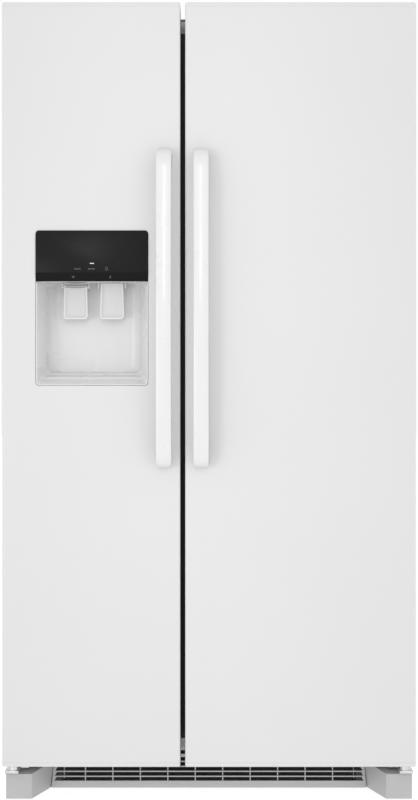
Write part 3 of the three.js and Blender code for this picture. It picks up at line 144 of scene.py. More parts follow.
def ramp(tree, source, stops):
    """A colour ramp over source, with two stops of (position, colour)."""
    made = tree.nodes.new("ShaderNodeValToRGB")
    tree.links.new(source, made.inputs["Fac"])
    for element, (position, colour) in zip(made.color_ramp.elements, stops):
        element.position = position
        element.color = colour
    return made.outputs["Color"]


def tinted(colour, factor):
    """The colour, lighter or darker by a factor."""
    return tuple(min(1.0, c * factor) for c in colour[:3]) + (1.0,)


def surface(
    name,
    colour,
    roughness,
    metallic=0.0,
    mottle=0.03,
    mottle_scale=9.0,
    grain_scale=900.0,
    grain_height=0.03,
    roughness_spread=0.05,
    stretch=(1.0, 1.0, 1.0),
    coat=0.0,
    specular=0.5,
    glow=0.0,
):
    """Colour that drifts a little, roughness that varies with it, and a fine grain in the bump."""
    tree, shader, node = new_material(name)
    coords = node("ShaderNodeTexCoord")
    mapping = node("ShaderNodeMapping", Vector=coords.outputs["Object"])
    mapping.inputs["Scale"].default_value = stretch
    drift = node("ShaderNodeTexNoise", Vector=mapping.outputs["Vector"], Scale=mottle_scale, Detail=4.0)
    tone = ramp(
        tree,
        drift.outputs["Fac"],
        [(0.3, tinted(colour, 1 - mottle)), (0.7, tinted(colour, 1 + mottle))],
    )
    tree.links.new(tone, shader.inputs["Base Color"])
    grain = node("ShaderNodeTexNoise", Vector=mapping.outputs["Vector"], Scale=grain_scale, Detail=2.0)
    rough = node("ShaderNodeMapRange", Value=drift.outputs["Fac"])
    rough.inputs["From Min"].default_value = 0.3
    rough.inputs["From Max"].default_value = 0.7
    rough.inputs["To Min"].default_value = max(0.02, roughness - roughness_spread)
    rough.inputs["To Max"].default_value = min(1.0, roughness + roughness_spread)
    tree.links.new(rough.outputs["Result"], shader.inputs["Roughness"])
    bump = node("ShaderNodeBump", Height=grain.outputs["Fac"])
    bump.inputs["Strength"].default_value = grain_height
    bump.inputs["Distance"].default_value = 0.2 * MM
    tree.links.new(bump.outputs["Normal"], shader.inputs["Normal"])
    shader.inputs["Metallic"].default_value = metallic
    shader.inputs["Coat Weight"].default_value = coat
    shader.inputs["Coat Roughness"].default_value = 0.08
    shader.inputs["Specular IOR Level"].default_value = specular
    shader.inputs["Emission Color"].default_value = grey(1.0)
    shader.inputs["Emission Strength"].default_value = glow


def clear_surface(name, colour, roughness, transmission):
    """Clear plastic or glass, with faint rub marks in its roughness."""
    tree, shader, node = new_material(name)
    coords = node("ShaderNodeTexCoord")
    rubs = node("ShaderNodeTexNoise", Vector=coords.outputs["Object"], Scale=260.0, Detail=6.0)
    rough = node("ShaderNodeMapRange", Value=rubs.outputs["Fac"])
    rough.inputs["To Min"].default_value = roughness
    rough.inputs["To Max"].default_value = roughness + 0.12
    tree.links.new(rough.outputs["Result"], shader.inputs["Roughness"])
    tint = ramp(tree, rubs.outputs["Fac"], [(0.35, tinted(colour, 0.97)), (0.65, tinted(colour, 1.0))])
    tree.links.new(tint, shader.inputs["Base Color"])
    shader.inputs["Transmission Weight"].default_value = transmission
    shader.inputs["IOR"].default_value = 1.5


def spangle_metal(name, colour, roughness):
    """Galvanised sheet: flakes of slightly different tone and polish."""
    tree, shader, node = new_material(name)
    coords = node("ShaderNodeTexCoord")
    flakes = node("ShaderNodeTexVoronoi", Vector=coords.outputs["Object"], Scale=70.0)
    tone = ramp(tree, flakes.outputs["Color"], [(0.2, tinted(colour, 0.86)), (0.8, tinted(colour, 1.1))])
    tree.links.new(tone, shader.inputs["Base Color"])
    rough = node("ShaderNodeMapRange", Value=flakes.outputs["Distance"])
    rough.inputs["To Min"].default_value = roughness - 0.1
    rough.inputs["To Max"].default_value = roughness + 0.14
    tree.links.new(rough.outputs["Result"], shader.inputs["Roughness"])
    shader.inputs["Metallic"].default_value = 0.85


def make_materials():
    """One material for each slot of the record, and a few for pieces that only Blender has."""
    dispenser = {"mottle": 0.005, "grain_scale": 1400.0, "roughness_spread": 0.02}
    surface(
        "enamel", grey(0.62), 0.42, mottle=0.006, mottle_scale=3.0, grain_scale=620.0, grain_height=0.12,
        roughness_spread=0.03, specular=0.4,
    )
    surface("handle_white", grey(0.65), 0.3, mottle=0.004, grain_height=0.02, coat=0.2)
    surface("white_plastic", (0.82, 0.82, 0.81), 0.32, mottle=0.008, grain_height=0.05)
    surface("cap_plastic", grey(0.62), 0.42, mottle=0.01, grain_height=0.08)
    surface("dispenser_white", grey(0.68), 0.28, grain_height=0.05, **dispenser)
    # darker copy of dispenser_white: painted shade in the paddles' dishes, with a rougher satin finish
    surface("dish_satin_painted_shade", grey(0.59), 0.4, grain_height=0.12, **dispenser)
    # also the throat of the ice chute, where its grey is painted shade
    surface("grey_plastic", grey(0.43), 0.55, mottle=0.03, grain_height=0.25)
    surface(
        "black_gloss", (0.0122, 0.0122, 0.0126), 0.26, mottle=0.04, grain_scale=1500.0, grain_height=0.02,
        roughness_spread=0.02, specular=0.08,
    )
    surface("black_strip", grey(0.006), 0.4, mottle=0.05, grain_height=0.04, specular=0.1)
    # also used for dark pieces that paint shade into gaps: the mullion strip, its pad and the tub's joint
    surface("gasket_rubber", grey(0.02), 0.7, mottle=0.15, grain_height=0.15)
    surface("foam", (0.80, 0.70, 0.42), 0.95, mottle=0.08, grain_scale=300.0, grain_height=0.9)
    surface(
        "zinc", (0.62, 0.63, 0.64), 0.34, metallic=0.95, mottle=0.06, mottle_scale=60.0, grain_height=0.1
    )
    spangle_metal("galvanised", (0.5, 0.51, 0.52), 0.45)
    surface(
        "aluminium", (0.72, 0.73, 0.74), 0.38, metallic=0.95, mottle=0.05, stretch=(0.1, 1.0, 1.0),
        grain_height=0.1,
    )
    surface(
        "black_paint", (0.018, 0.018, 0.02), 0.4, mottle=0.12, mottle_scale=30.0, grain_height=0.2
    )
    surface("dark_plastic", (0.045, 0.045, 0.047), 0.58, mottle=0.08, grain_height=0.3)
    clear_surface("clear_plastic", (0.93, 0.96, 0.97), 0.12, 0.85)
    clear_surface("shelf_glass", (0.82, 0.95, 0.90), 0.03, 0.95)
    # painted shadow: dark grey for the plate under the refrigerator
    surface("painted_shadow_grey", grey(0.085), 0.8, mottle=0.1, grain_height=0.2)
    surface("filter_blue", (0.05, 0.14, 0.33), 0.38, mottle=0.04, grain_height=0.1)
    surface("icon_grey", grey(0.22), 0.5, mottle=0.02)
    surface("icon_light", grey(0.75), 0.4, mottle=0.02)
    surface("floor_white", grey(0.25), 0.8, mottle=0.005, grain_height=0.01, specular=0.1, glow=0.88)


# ------------------------------------------------------------------ mesh tools
def add_mesh(name, vertices, faces, material, smooth_angle=35.0):
    """A piece made from points and faces, with its finish on."""
    mesh = bpy.data.meshes.new(name)
    mesh.from_pydata([tuple(v) for v in vertices], [], faces)
    obj = bpy.data.objects.new(name, mesh)
    bpy.context.scene.collection.objects.link(obj)
    tidy_normals(mesh)
    finish_piece(obj, material, smooth_angle)
    return obj


def tidy_normals(mesh):
    """Faces all face out, and doubled points are merged."""
    work = bmesh.new()
    work.from_mesh(mesh)
    bmesh.ops.remove_doubles(work, verts=work.verts, dist=1e-6)
    bmesh.ops.recalc_face_normals(work, faces=work.faces)
    work.to_mesh(mesh)
    work.free()


def finish_piece(obj, material, smooth_angle=35.0):
    """One material, and smooth shading that breaks at edges sharper than the angle."""
    obj.data.materials.clear()
    obj.data.materials.append(MATERIALS[material])
    obj.data.shade_smooth()
    obj.data.set_sharp_from_angle(angle=math.radians(smooth_angle))


def place(obj, body, *replaced, slot):
    """The piece rides on a body and stands for the CAD nodes named, which it hides; the slot is not used."""
    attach(obj, body)
    if replaced:
        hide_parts(*replaced)


def rounded_block(name, low, high, radius, material, segments=4):
    """A block with all its edges rounded."""
    (x0, y0, z0), (x1, y1, z1) = low, high
    corners = [(x, y, z) for z in (z0, z1) for x, y in ((x0, y0), (x1, y0), (x1, y1), (x0, y1))]
    faces = [(0, 3, 2, 1), (4, 5, 6, 7), (0, 1, 5, 4), (1, 2, 6, 5), (2, 3, 7, 6), (3, 0, 4, 7)]
    obj = add_mesh(name, corners, faces, material)
    work = bmesh.new()
    work.from_mesh(obj.data)
    bmesh.ops.bevel(
        work,
        geom=work.edges[:],
        offset=radius,
        segments=segments,
        profile=0.5,
        affect="EDGES",
        clamp_overlap=True,
    )
    work.to_mesh(obj.data)
    work.free()
    finish_piece(obj, material)
    return obj


def carve(obj, cutter, operation="DIFFERENCE"):
    """Cuts obj with cutter, bakes the result, and throws the cutter away."""
    modifier = obj.modifiers.new("carve", "BOOLEAN")
    modifier.object = cutter
    modifier.operation = operation
    modifier.solver = "EXACT"
    bpy.context.view_layer.update()
    graph = bpy.context.evaluated_depsgraph_get()
    made = bpy.data.meshes.new_from_object(obj.evaluated_get(graph))
    obj.modifiers.remove(modifier)
    old = obj.data
    obj.data = made
    bpy.data.meshes.remove(old)
    bpy.data.objects.remove(cutter)
    return obj


def outline_prism(name, outline, y0, y1, material):
    """A closed outline of (x, z) points, made solid from y0 to y1."""
    count = len(outline)
    front = [(x, y0, z) for x, z in outline]
    back = [(x, y1, z) for x, z in outline]
    faces = [tuple(range(count)), tuple(range(2 * count - 1, count - 1, -1))]
    faces += [(i, (i + 1) % count, (i + 1) % count + count, i + count) for i in range(count)]
    return add_mesh(name, front + back, faces, material)


def rounded_outline(x0, x1, z0, z1, top, bottom=None, steps=8):
    """Points of a rectangle with rounded corners, anticlockwise seen from the front."""
    bottom = top if bottom is None else bottom
    corners = [
        (x1 - bottom, z0 + bottom, bottom, -90),
        (x1 - top, z1 - top, top, 0),
        (x0 + top, z1 - top, top, 90),
        (x0 + bottom, z0 + bottom, bottom, 180),
    ]
    points = []
    for cx, cz, radius, start in corners:
        for i in range(steps + 1):
            angle = math.radians(start + 90 * i / steps)
            points.append((cx + radius * math.cos(angle), cz + radius * math.sin(angle)))
    return points


def ring_skin(name, rings, material, close_first=False, close_last=True, smooth_angle=50.0):
    """A skin over rings of equal length, with flat ends where asked."""
    count = len(rings[0])
    vertices = [p for ring in rings for p in ring]
    faces = []
    for r in range(len(rings) - 1):
        for i in range(count):
            j = (i + 1) % count
            a, b = r * count, (r + 1) * count
            faces.append((a + i, a + j, b + j, b + i))
    if close_first:
        faces.append(tuple(range(count)))
    if close_last:
        last = (len(rings) - 1) * count
        faces.append(tuple(range(last + count - 1, last - 1, -1)))
    return add_mesh(name, vertices, faces, material, smooth_angle)


def thicken(obj, depth):
    """Turns a skin into a wall, to the side that its faces look away from."""
    modifier = obj.modifiers.new("thickness", "SOLIDIFY")
    modifier.thickness = depth
    modifier.offset = -1


def dress(node, material, bevel=0.0, segments=2, smooth_angle=35.0):
    """Gives a CAD node its finish, and rounds its edges with modifiers."""
    obj = NODES[node]
    weld = obj.modifiers.new("weld", "WELD")
    weld.merge_threshold = 1e-6
    if bevel:
        rounding = obj.modifiers.new("edges", "BEVEL")
        rounding.width = bevel
        rounding.segments = segments
        rounding.limit_method = "ANGLE"
        rounding.angle_limit = math.radians(35)
        rounding.harden_normals = True
    finish_piece(obj, material, smooth_angle)


# ------------------------------------------------------------------ doors
def door_face():
    """y of the front of the freezer door, which the fresh-food door shares."""
    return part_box("freezer_door_panel")[0].y


def door_slab(name, node, z0, z1, material):
    """The part of a door's rounded outside between two heights."""
    low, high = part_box(node)
    behind = (high.x, high.y + 2 * EDGE_RADIUS, high.z)
    whole = rounded_block(name, low, behind, EDGE_RADIUS, material, segments=6)
    margin = 5 * MM
    window = rounded_block(
        name + "_window",
        (low.x - margin, low.y - margin, z0),
        (high.x + margin, high.y, z1),
        0.01 * MM,
        material,
        segments=1,
    )
    return carve(whole, window, "INTERSECT")


def hollow_back(obj, node):
    """Opens the slab to the back, top and bottom, to leave a skin."""
    low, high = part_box(node)
    past = 1.0
    room = rounded_block(
        obj.name + "_room",
        (low.x + SKIN, low.y + SKIN, low.z - past),
        (high.x - SKIN, high.y + past, high.z + past),
        EDGE_RADIUS - SKIN,
        "enamel",
    )
    carve(obj, room)


def dispenser_span():
    """x0, x1 and z0 of the dispenser's outline in the door."""
    low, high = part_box("dispenser_fascia")
    return low.x, high.x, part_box("dispenser_housing")[0].z


def cut_dispenser_hole(skin):
    """Leaves a narrow open joint round the dispenser."""
    x0, x1, bottom = dispenser_span()
    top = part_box("dispenser_fascia")[1].z
    joint = 0.45 * MM
    outline = rounded_outline(x0 - joint, x1 + joint, bottom - joint, top + joint, DISPENSER_RADIUS)
    face = door_face()
    carve(skin, outline_prism("dispenser_hole", outline, face - 10 * MM, face + 30 * MM, "enamel"))


def build_door(body, node):
    """Painted skin, open at the back, between two plastic end caps."""
    low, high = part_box(node)
    z0, z1 = low.z + CAP_HEIGHT, high.z - CAP_HEIGHT
    skin = door_slab(body + "_skin", node, z0 + SEAM, z1 - SEAM, "enamel")
    hollow_back(skin, node)
    if body == "freezer_door":
        cut_dispenser_hole(skin)
    finish_piece(skin, "enamel", 30)
    place(skin, body, node, slot="enamel")
    for label, bottom, top in (("bottom", low.z, z0), ("top", z1, high.z)):
        cap = door_slab(f"{body}_{label}_cap", node, bottom, top, "cap_plastic")
        finish_piece(cap, "cap_plastic", 30)
        place(cap, body, slot="white_plastic")


# ------------------------------------------------------------------ handles
def bezier(points, steps):
    """Points along a Bezier curve of any degree, both ends included."""
    made = []
    for i in range(steps + 1):
        t = i / steps
        level = [Vector(p) for p in points]
        while len(level) > 1:
            level = [a.lerp(b, t) for a, b in zip(level, level[1:])]
        made.append(level[0])
    return made


def handle_sides(face, front, z0, z1):
    """Matching points, (y, z), along the outer and the inner side of the bar."""
    middle = (z0 + z1) / 2
    steps = 16
    shoulder = (front + HANDLE_BOW, z0 + HANDLE_SHOULDER)
    turn = (face - HANDLE_STUB[0], z0)
    outer = bezier([(face, z0 + 2 * MM), turn], 3)
    pull = [(shoulder[0] + 10 * MM, z0 + 2 * MM), (shoulder[0] + MM, z0 + 0.4 * HANDLE_SHOULDER)]
    outer += bezier([turn, *pull, shoulder], steps)[1:]
    outer += bezier([shoulder, (front, (shoulder[1] + middle) / 2), (front, middle)], steps)[1:]
    back = front + HANDLE_BAR
    shoulder_back = (shoulder[0] + HANDLE_BAR, shoulder[1] + 20 * MM)
    turn = (face - HANDLE_STUB[1], z0 + HANDLE_FOOT[1])
    inner = bezier([(face, z0 + HANDLE_FOOT[0]), turn], 3)
    inner += bezier([turn, (shoulder_back[0], z0 + 34 * MM), shoulder_back], steps)[1:]
    inner += bezier([shoulder_back, (back, (shoulder[1] + middle) / 2), (back, middle)], steps)[1:]
    mirrored = [
        [Vector((p.x, 2 * middle - p.y)) for p in reversed(side[:-1])]
        for side in (outer, inner)
    ]
    return outer + mirrored[0], inner + mirrored[1]


def handle_section(width):
    """Section points, (x, distance, from_outer): how far in from the outer or the inner side of the bar."""
    r = HANDLE_CORNER
    flat = width / 2 - r
    rising = [math.radians(15 * i) for i in range(7)]
    falling = rising[::-1]
    across = 12

    def corner(side, angles, from_outer):
        return [(side * (flat + r * math.cos(a)), r - r * math.sin(a), from_outer) for a in angles]

    section = corner(-1, rising, True)
    section += [(2 * flat * i / across - flat, 0.0, True) for i in range(1, across)]
    section += corner(1, falling, True)
    section += corner(1, rising, False)
    section += corner(-1, falling, False)
    return section


def build_handle(body, node):
    """Bowed bar with rounded corners and a crowned front, whose ends turn in to the door."""
    low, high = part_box(node)
    centre = (low.x + high.x) / 2
    width = high.x - low.x
    outer, inner = handle_sides(high.y, low.y, low.z, high.z)
    section = handle_section(width)
    rings = []
    for o, i in zip(outer, inner):
        across = (i - o).normalized()
        ring = []
        for x, distance, from_outer in section:
            crown = HANDLE_CROWN * (2 * x / width) ** 2
            base = o + across * (distance + crown) if from_outer else i - across * distance
            ring.append((centre + x, base.x, base.y))
        rings.append(ring)
    bar = ring_skin(body + "_handle_bar", rings, "handle_white", close_first=True)
    place(bar, body, node, slot="enamel")


# ------------------------------------------------------------------ dispenser
def cavity_top():
    """z of the foot of the fascia, which is the ceiling of the cavity."""
    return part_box("dispenser_fascia")[0].z


def cavity_inset(depth):
    """How far a side wall has come in at a depth: it leans in, and ends in a rounded corner."""
    across, along = CAVITY_CORNER
    turn = min(max((depth - CAVITY_DEPTH + along) / along, 0.0), 1.0)
    return CAVITY_LEAN * depth / CAVITY_DEPTH + across * (1 - math.sqrt(1 - turn * turn))


def floor_rise(depth):
    """Height of the cavity's floor over its front lip."""
    at = depth / MM
    for (d0, h0), (d1, h1) in zip(FLOOR_STEPS, FLOOR_STEPS[1:]):
        if at <= d1:
            return (h0 + (h1 - h0) * (at - d0) / (d1 - d0)) * MM
    return FLOOR_STEPS[-1][1] * MM


def with_runs(outline, corner_points):
    """Adds points along the straight runs between corners, so that smooth shading stays true on the flats."""
    made = []
    for i, (x, z) in enumerate(outline):
        made.append((x, z))
        if (i + 1) % corner_points == 0:
            u, v = outline[(i + 1) % len(outline)]
            made += [(x + (u - x) * t, z + (v - z) * t) for t in (0.01, 0.1, 0.3, 0.5, 0.7, 0.9, 0.99)]
    return made


def build_tub():
    """One moulded tub: a flange behind the door's skin, a rolled rim, and the cavity."""
    x0, x1, z0 = dispenser_span()
    ceiling = cavity_top()
    face = door_face()
    tuck, tuck_fade = 8 * MM, 10 * MM  # the rim's top side runs back behind the fascia
    steps = 12
    rings = []

    def add_ring(inset, low, y, radius, upper):
        outline = rounded_outline(x0 + inset, x1 - inset, z0 + low, ceiling, upper, radius, steps)
        ring = []
        for x, z in with_runs(outline, steps + 1):
            tucked = tuck * math.exp(-y / tuck_fade) if z > ceiling - upper - 0.1 * MM else 0.0
            ring.append((x, face + y + tucked, z))
        rings.append(ring)

    for inset, y in TUB_RIM:
        add_ring(inset * MM, inset * MM, y * MM, DISPENSER_RADIUS - 0.5 * inset * MM, 0.5 * MM)
    for depth in CAVITY_RINGS:
        t = depth * MM / CAVITY_DEPTH
        inset = CAVITY_LIP + cavity_inset(depth * MM)
        low = CAVITY_LIP + floor_rise(depth * MM)
        radius = DISPENSER_RADIUS - 0.5 * CAVITY_LIP + 14 * MM * t**2
        add_ring(inset, low, depth * MM, radius, (0.5 + 11 * t**3) * MM)
    back = rings[-1]
    centre_x = (x0 + x1) / 2
    centre_z = (z0 + ceiling) / 2
    for shrink in (0.96, 0.85, 0.65, 0.4, 0.15):
        bow = 2 * MM * (1 - shrink)
        ring = []
        for x, y, z in back:
            ring.append((centre_x + (x - centre_x) * shrink, y + bow, centre_z + (z - centre_z) * shrink))
        rings.append(ring)
    tub = ring_skin("dispenser_tub", rings, "dispenser_white", smooth_angle=60)
    thicken(tub, TUB_WALL)
    place(tub, "freezer_door", "dispenser_housing", slot="dispenser_white")


def build_tub_joint_shade():
    """Dark foam strip behind the open joint between the tub's rim and the door's skin, which paints shade
    into the joint.
    """
    x0, x1, z0 = dispenser_span()
    face = door_face()
    outside, inside = -0.8 * MM, 0.1 * MM
    front, back = 1.6 * MM, 1.9 * MM
    rings = []
    for inset, y in ((outside, back), (outside, front), (inside, front), (inside, back), (outside, back)):
        outline = rounded_outline(
            x0 + inset, x1 - inset, z0 + inset, cavity_top(), 0.5 * MM, DISPENSER_RADIUS, steps=12
        )
        rings.append([(x, face + y, z) for x, z in outline])
    # painted shade: dark strip that keeps the joint dark
    joint_shade = ring_skin("tub_joint_shade", rings, "gasket_rubber", close_last=False)
    place(joint_shade, "freezer_door", slot="gasket_rubber")


def paddle_rings(low, high, dish):
    """Outlines that make a shallow dish, open at its top, with a raised, rounded rim at its other sides."""
    y0, y1 = low.y, high.y
    plan = [  # inset in mm, and y
        (2.0, y1),
        (0.6, y1 - 0.4 * MM),
        (0.0, y1 - 1.6 * MM),
        (0.0, y0 + 1.4 * MM),
        (0.4, y0 + 0.5 * MM),
        (1.4, y0),
        (2.8, y0 + 0.1 * MM),
        (4.2, y0 + 0.9 * MM),
        (6.2, y0 + 0.8 * dish),
        (8.4, y0 + dish),
        (16.0, y0 + dish + 0.2 * MM),
    ]
    rings = []
    for inset_mm, y in plan:
        inset = inset_mm * MM
        bottom = max(9 * MM - inset, 3 * MM)
        upper = max(3 * MM - inset, 1.5 * MM)
        top = high.z - min(inset, 1.0 * MM) - 0.02 * inset
        outline = rounded_outline(low.x + inset, high.x - inset, low.z + inset, top, upper, bottom)
        rings.append([(x, y, z) for x, z in outline])
    return rings


def build_paddle(name, taper, rise):
    """A dished plate, narrower at its top by taper, whose top edge is rise over the top of the CAD piece."""
    low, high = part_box(name)
    centre = (low.x + high.x) / 2
    low = Vector((low.x + PADDLE_EAR, low.y, low.z))
    high = Vector((high.x - PADDLE_EAR, high.y, high.z + rise))
    height = high.z - low.z
    shaped = [
        [(centre + (x - centre) * (1 - taper * (z - low.z) / height), y, z) for x, y, z in ring]
        for ring in paddle_rings(low, high, PADDLE_DISH)
    ]
    paddle = ring_skin(name + "_dish", shaped, "dispenser_white", close_first=True, smooth_angle=60)
    # the dish takes the darker copy: painted shade in the recess
    paddle.data.materials.append(MATERIALS["dish_satin_painted_shade"])
    rim = 5.5 * MM
    reach = (high.x - low.x) / 2 - rim
    for face in paddle.data.polygons:
        in_dish = face.center.y > low.y + 0.3 * PADDLE_DISH and face.normal.y < -0.3
        inside_rim = abs(face.center.x - centre) < reach and face.center.z > low.z + rim
        if in_dish and inside_rim:
            face.material_index = 1
    place(paddle, name + "_body", name, slot="dispenser_white")


def build_paddle_lip():
    """Rounded lip across the top of the ice paddle, lowest in the middle, that guides the ice out."""
    low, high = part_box("ice_paddle")
    centre = (low.x + high.x) / 2
    half = (high.x - low.x) / 2 - PADDLE_EAR + 0.4 * MM
    sag = 2.8 * MM
    out, up = 3.0 * MM, 1.7 * MM  # half of the section
    stations, sides = 24, 12
    rings = []
    for i in range(stations + 1):
        across = 2 * i / stations - 1
        end = 1 - 0.35 * abs(across) ** 8
        z = high.z - 2.0 * MM - sag * (1 - across * across)
        ring = []
        for k in range(sides):
            angle = 2 * math.pi * k / sides
            y = low.y + 0.6 * MM - out * end * math.cos(angle)
            ring.append((centre + half * across, y, z + up * end * math.sin(angle)))
        rings.append(ring)
    lip = ring_skin("ice_paddle_lip", rings, "dispenser_white", close_first=True, smooth_angle=70)
    place(lip, "ice_paddle_body", slot="dispenser_white")


def build_paddle_ears():
    """Plates on the ceiling of the tub that hold the ends of the paddles' pins."""
    gap, thickness = 0.8 * MM, 2.5 * MM
    half_depth = 6 * MM
    drop = 13 * MM
    for name in ("ice_paddle", "water_paddle"):
        low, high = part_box(name)
        pin = low.y + 5 * MM
        for side, edge, sign in (("left", low.x + PADDLE_EAR, -1), ("right", high.x - PADDLE_EAR, 1)):
            near, far = sorted((edge + sign * gap, edge + sign * (gap + thickness)))
            ear = rounded_block(
                f"{name}_ear_{side}",
                (near, pin - half_depth, cavity_top() - drop),
                (far, pin + half_depth, cavity_top() - 0.2 * MM),
                1.1 * MM,
                "dispenser_white",
                segments=3,
            )
            place(ear, "freezer_door", slot="dispenser_white")


def mouth_rings(profile, hang):
    """Rings round the mouth of the ice chute, from pairs of (scale, rise in mm).

    Each ring is nearly square, and lowest at the back.
    """
    low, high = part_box("chute_flap")
    centre_x = (low.x + high.x) / 2
    centre_y = door_face() + CHUTE_BACK
    half_x, half_y = CHUTE_HALF
    squareness = 0.4
    points = 64

    def bulged(value):
        return math.copysign(abs(value) ** squareness, value)

    rings = []
    for scale, rise in profile:
        ring = []
        for i in range(points):
            angle = 2 * math.pi * i / points
            u, v = bulged(math.cos(angle)), bulged(math.sin(angle))
            z = cavity_top() - hang * (1 - u * u) * (v + 1) / 2 + rise * MM
            ring.append((centre_x + half_x * scale * u, centre_y + half_y * scale * v, z))
        rings.append(ring)
    return rings


def build_chute_mouth():
    """Rim and throat of the ice chute, over the ice paddle; the throat's grey is painted shade inside the
    chute.
    """
    profile = [(1.0, 2.5), (1.0, 0.6), (1.02, -0.2), (1.04, -0.5), (1.07, -0.2), (1.08, 0.6), (1.08, 8)]
    rim = mouth_rings(profile, CHUTE_HANG)
    mouth = ring_skin("ice_chute_mouth", rim, "dispenser_white", close_last=False, smooth_angle=60)
    place(mouth, "freezer_door", slot="dispenser_white")
    inside = mouth_rings([(1.0, 2.6), (1.0, 23)], CHUTE_HANG)
    # painted shade: the throat is grey to darken the inside of the chute
    throat = ring_skin("ice_chute_throat", inside, "grey_plastic", close_last=False)
    place(throat, "freezer_door", slot="grey_plastic")


def cut_chute_hole():
    """Opens the tub's ceiling for the chute. The cut keeps the tub's wall, so its modifier goes."""
    tub = bpy.data.objects["dispenser_tub"]
    rings = mouth_rings([(1.06, -6), (1.06, 12)], 0.0)
    carve(tub, ring_skin("chute_hole", rings, "dispenser_white", close_first=True))
    tub.modifiers.clear()
    finish_piece(tub, "dispenser_white", 60)


def build_chute_duct():
    """Square duct from the mouth up to the door liner, open at the back of its upper part."""
    low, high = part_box("chute_flap")
    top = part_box("dispenser_housing")[1].z
    y0, y1 = door_face() + 24 * MM, door_face() + 60 * MM
    base = cavity_top() + 24 * MM
    window = 62 * MM
    corners = [(low.x, y0), (high.x, y0), (high.x, y1), (low.x, y1)]
    vertices = [(x, y, z) for z in (base, top - window, top) for x, y in corners]
    lower = [(0, 1, 5, 4), (1, 2, 6, 5), (2, 3, 7, 6), (3, 0, 4, 7)]
    upper = [(4, 5, 9, 8), (5, 6, 10, 9), (7, 4, 8, 11)]
    lid = [(8, 9, 10, 11)]
    duct = add_mesh("ice_chute_duct", vertices, lower + upper + lid, "white_plastic")
    thicken(duct, 1.5 * MM)
    place(duct, "freezer_door", slot="white_plastic")


def build_fascia():
    """Flat dark panel with rounded upper corners."""
    low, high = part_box("dispenser_fascia")
    split = low.z + FASCIA_STRIP
    front = low.y + FASCIA_SET_BACK
    back = high.y
    bevel = 1.2 * MM
    outline = rounded_outline(low.x, high.x, split, high.z, DISPENSER_RADIUS, 0.6 * MM, steps=10)
    inner = rounded_outline(
        low.x + bevel,
        high.x - bevel,
        split + 0.4 * MM,
        high.z - bevel,
        DISPENSER_RADIUS - bevel,
        0.4 * MM,
        steps=10,
    )
    part_way = [(x + (u - x) * 0.3, z + (v - z) * 0.3) for (x, z), (u, v) in zip(outline, inner)]
    rings = [
        [(x, back, z) for x, z in outline],
        [(x, front + bevel, z) for x, z in outline],
        [(x, front + 0.3 * bevel, z) for x, z in part_way],
        [(x, front, z) for x, z in inner],
    ]
    panel = ring_skin("fascia_panel", rings, "black_gloss", close_first=True)
    place(panel, "freezer_door", "dispenser_fascia", slot="black_gloss")


def build_fascia_strip():
    """Strip under the panel, which leans back towards its foot."""
    low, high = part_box("dispenser_fascia")
    split = low.z + FASCIA_STRIP
    front = low.y + FASCIA_SET_BACK
    back = high.y
    foot = low.z - 1.0 * MM
    section = [
        (front + STRIP_STEP, split - SEAM),
        (front + STRIP_LEAN, foot + 0.3 * MM),
        (front + STRIP_LEAN + 0.3 * MM, foot),
        (back, foot),
        (back, split - SEAM),
    ]
    count = len(section)
    vertices = [(x, y, z) for x in (low.x, high.x) for y, z in section]
    faces = [tuple(range(count - 1, -1, -1)), tuple(range(count, 2 * count))]
    faces += [(i, (i + 1) % count, (i + 1) % count + count, i + count) for i in range(count)]
    strip = add_mesh("fascia_strip", vertices, faces, "black_strip")
    place(strip, "freezer_door", slot="black_gloss")


def stroke(points, width, closed=False):
    """Flat quads along a line of (x, z) points."""
    path = points + points[:1] if closed else points
    quads = []
    for a, b in zip(path, path[1:]):
        along = (Vector(b) - Vector(a)).normalized()
        side = Vector((-along.y, along.x)) * width / 2
        grown = along * width / 2
        a, b = Vector(a) - grown, Vector(b) + grown
        quads.append([a - side, b - side, b + side, a + side])
    return quads


def icon(name, quads, centre, plane, material):
    """Flat print at centre; plane(z) gives the y of the surface under it."""
    vertices = []
    faces = []
    for quad in quads:
        start = len(vertices)
        for p in quad:
            x, z = centre[0] + p.x, centre[1] + p.y
            vertices.append((x, plane(z), z))
        faces.append(tuple(range(start, start + len(quad))))
    made = add_mesh(name, vertices, faces, material)
    place(made, "freezer_door", slot="black_gloss")


def polygon(sides, radius, turn=0.0, stretch=1.0):
    """Corners of a regular polygon, stretched in height."""
    points = []
    for i in range(sides):
        angle = 2 * math.pi * i / sides + turn
        points.append((radius * math.cos(angle), stretch * radius * math.sin(angle)))
    return points


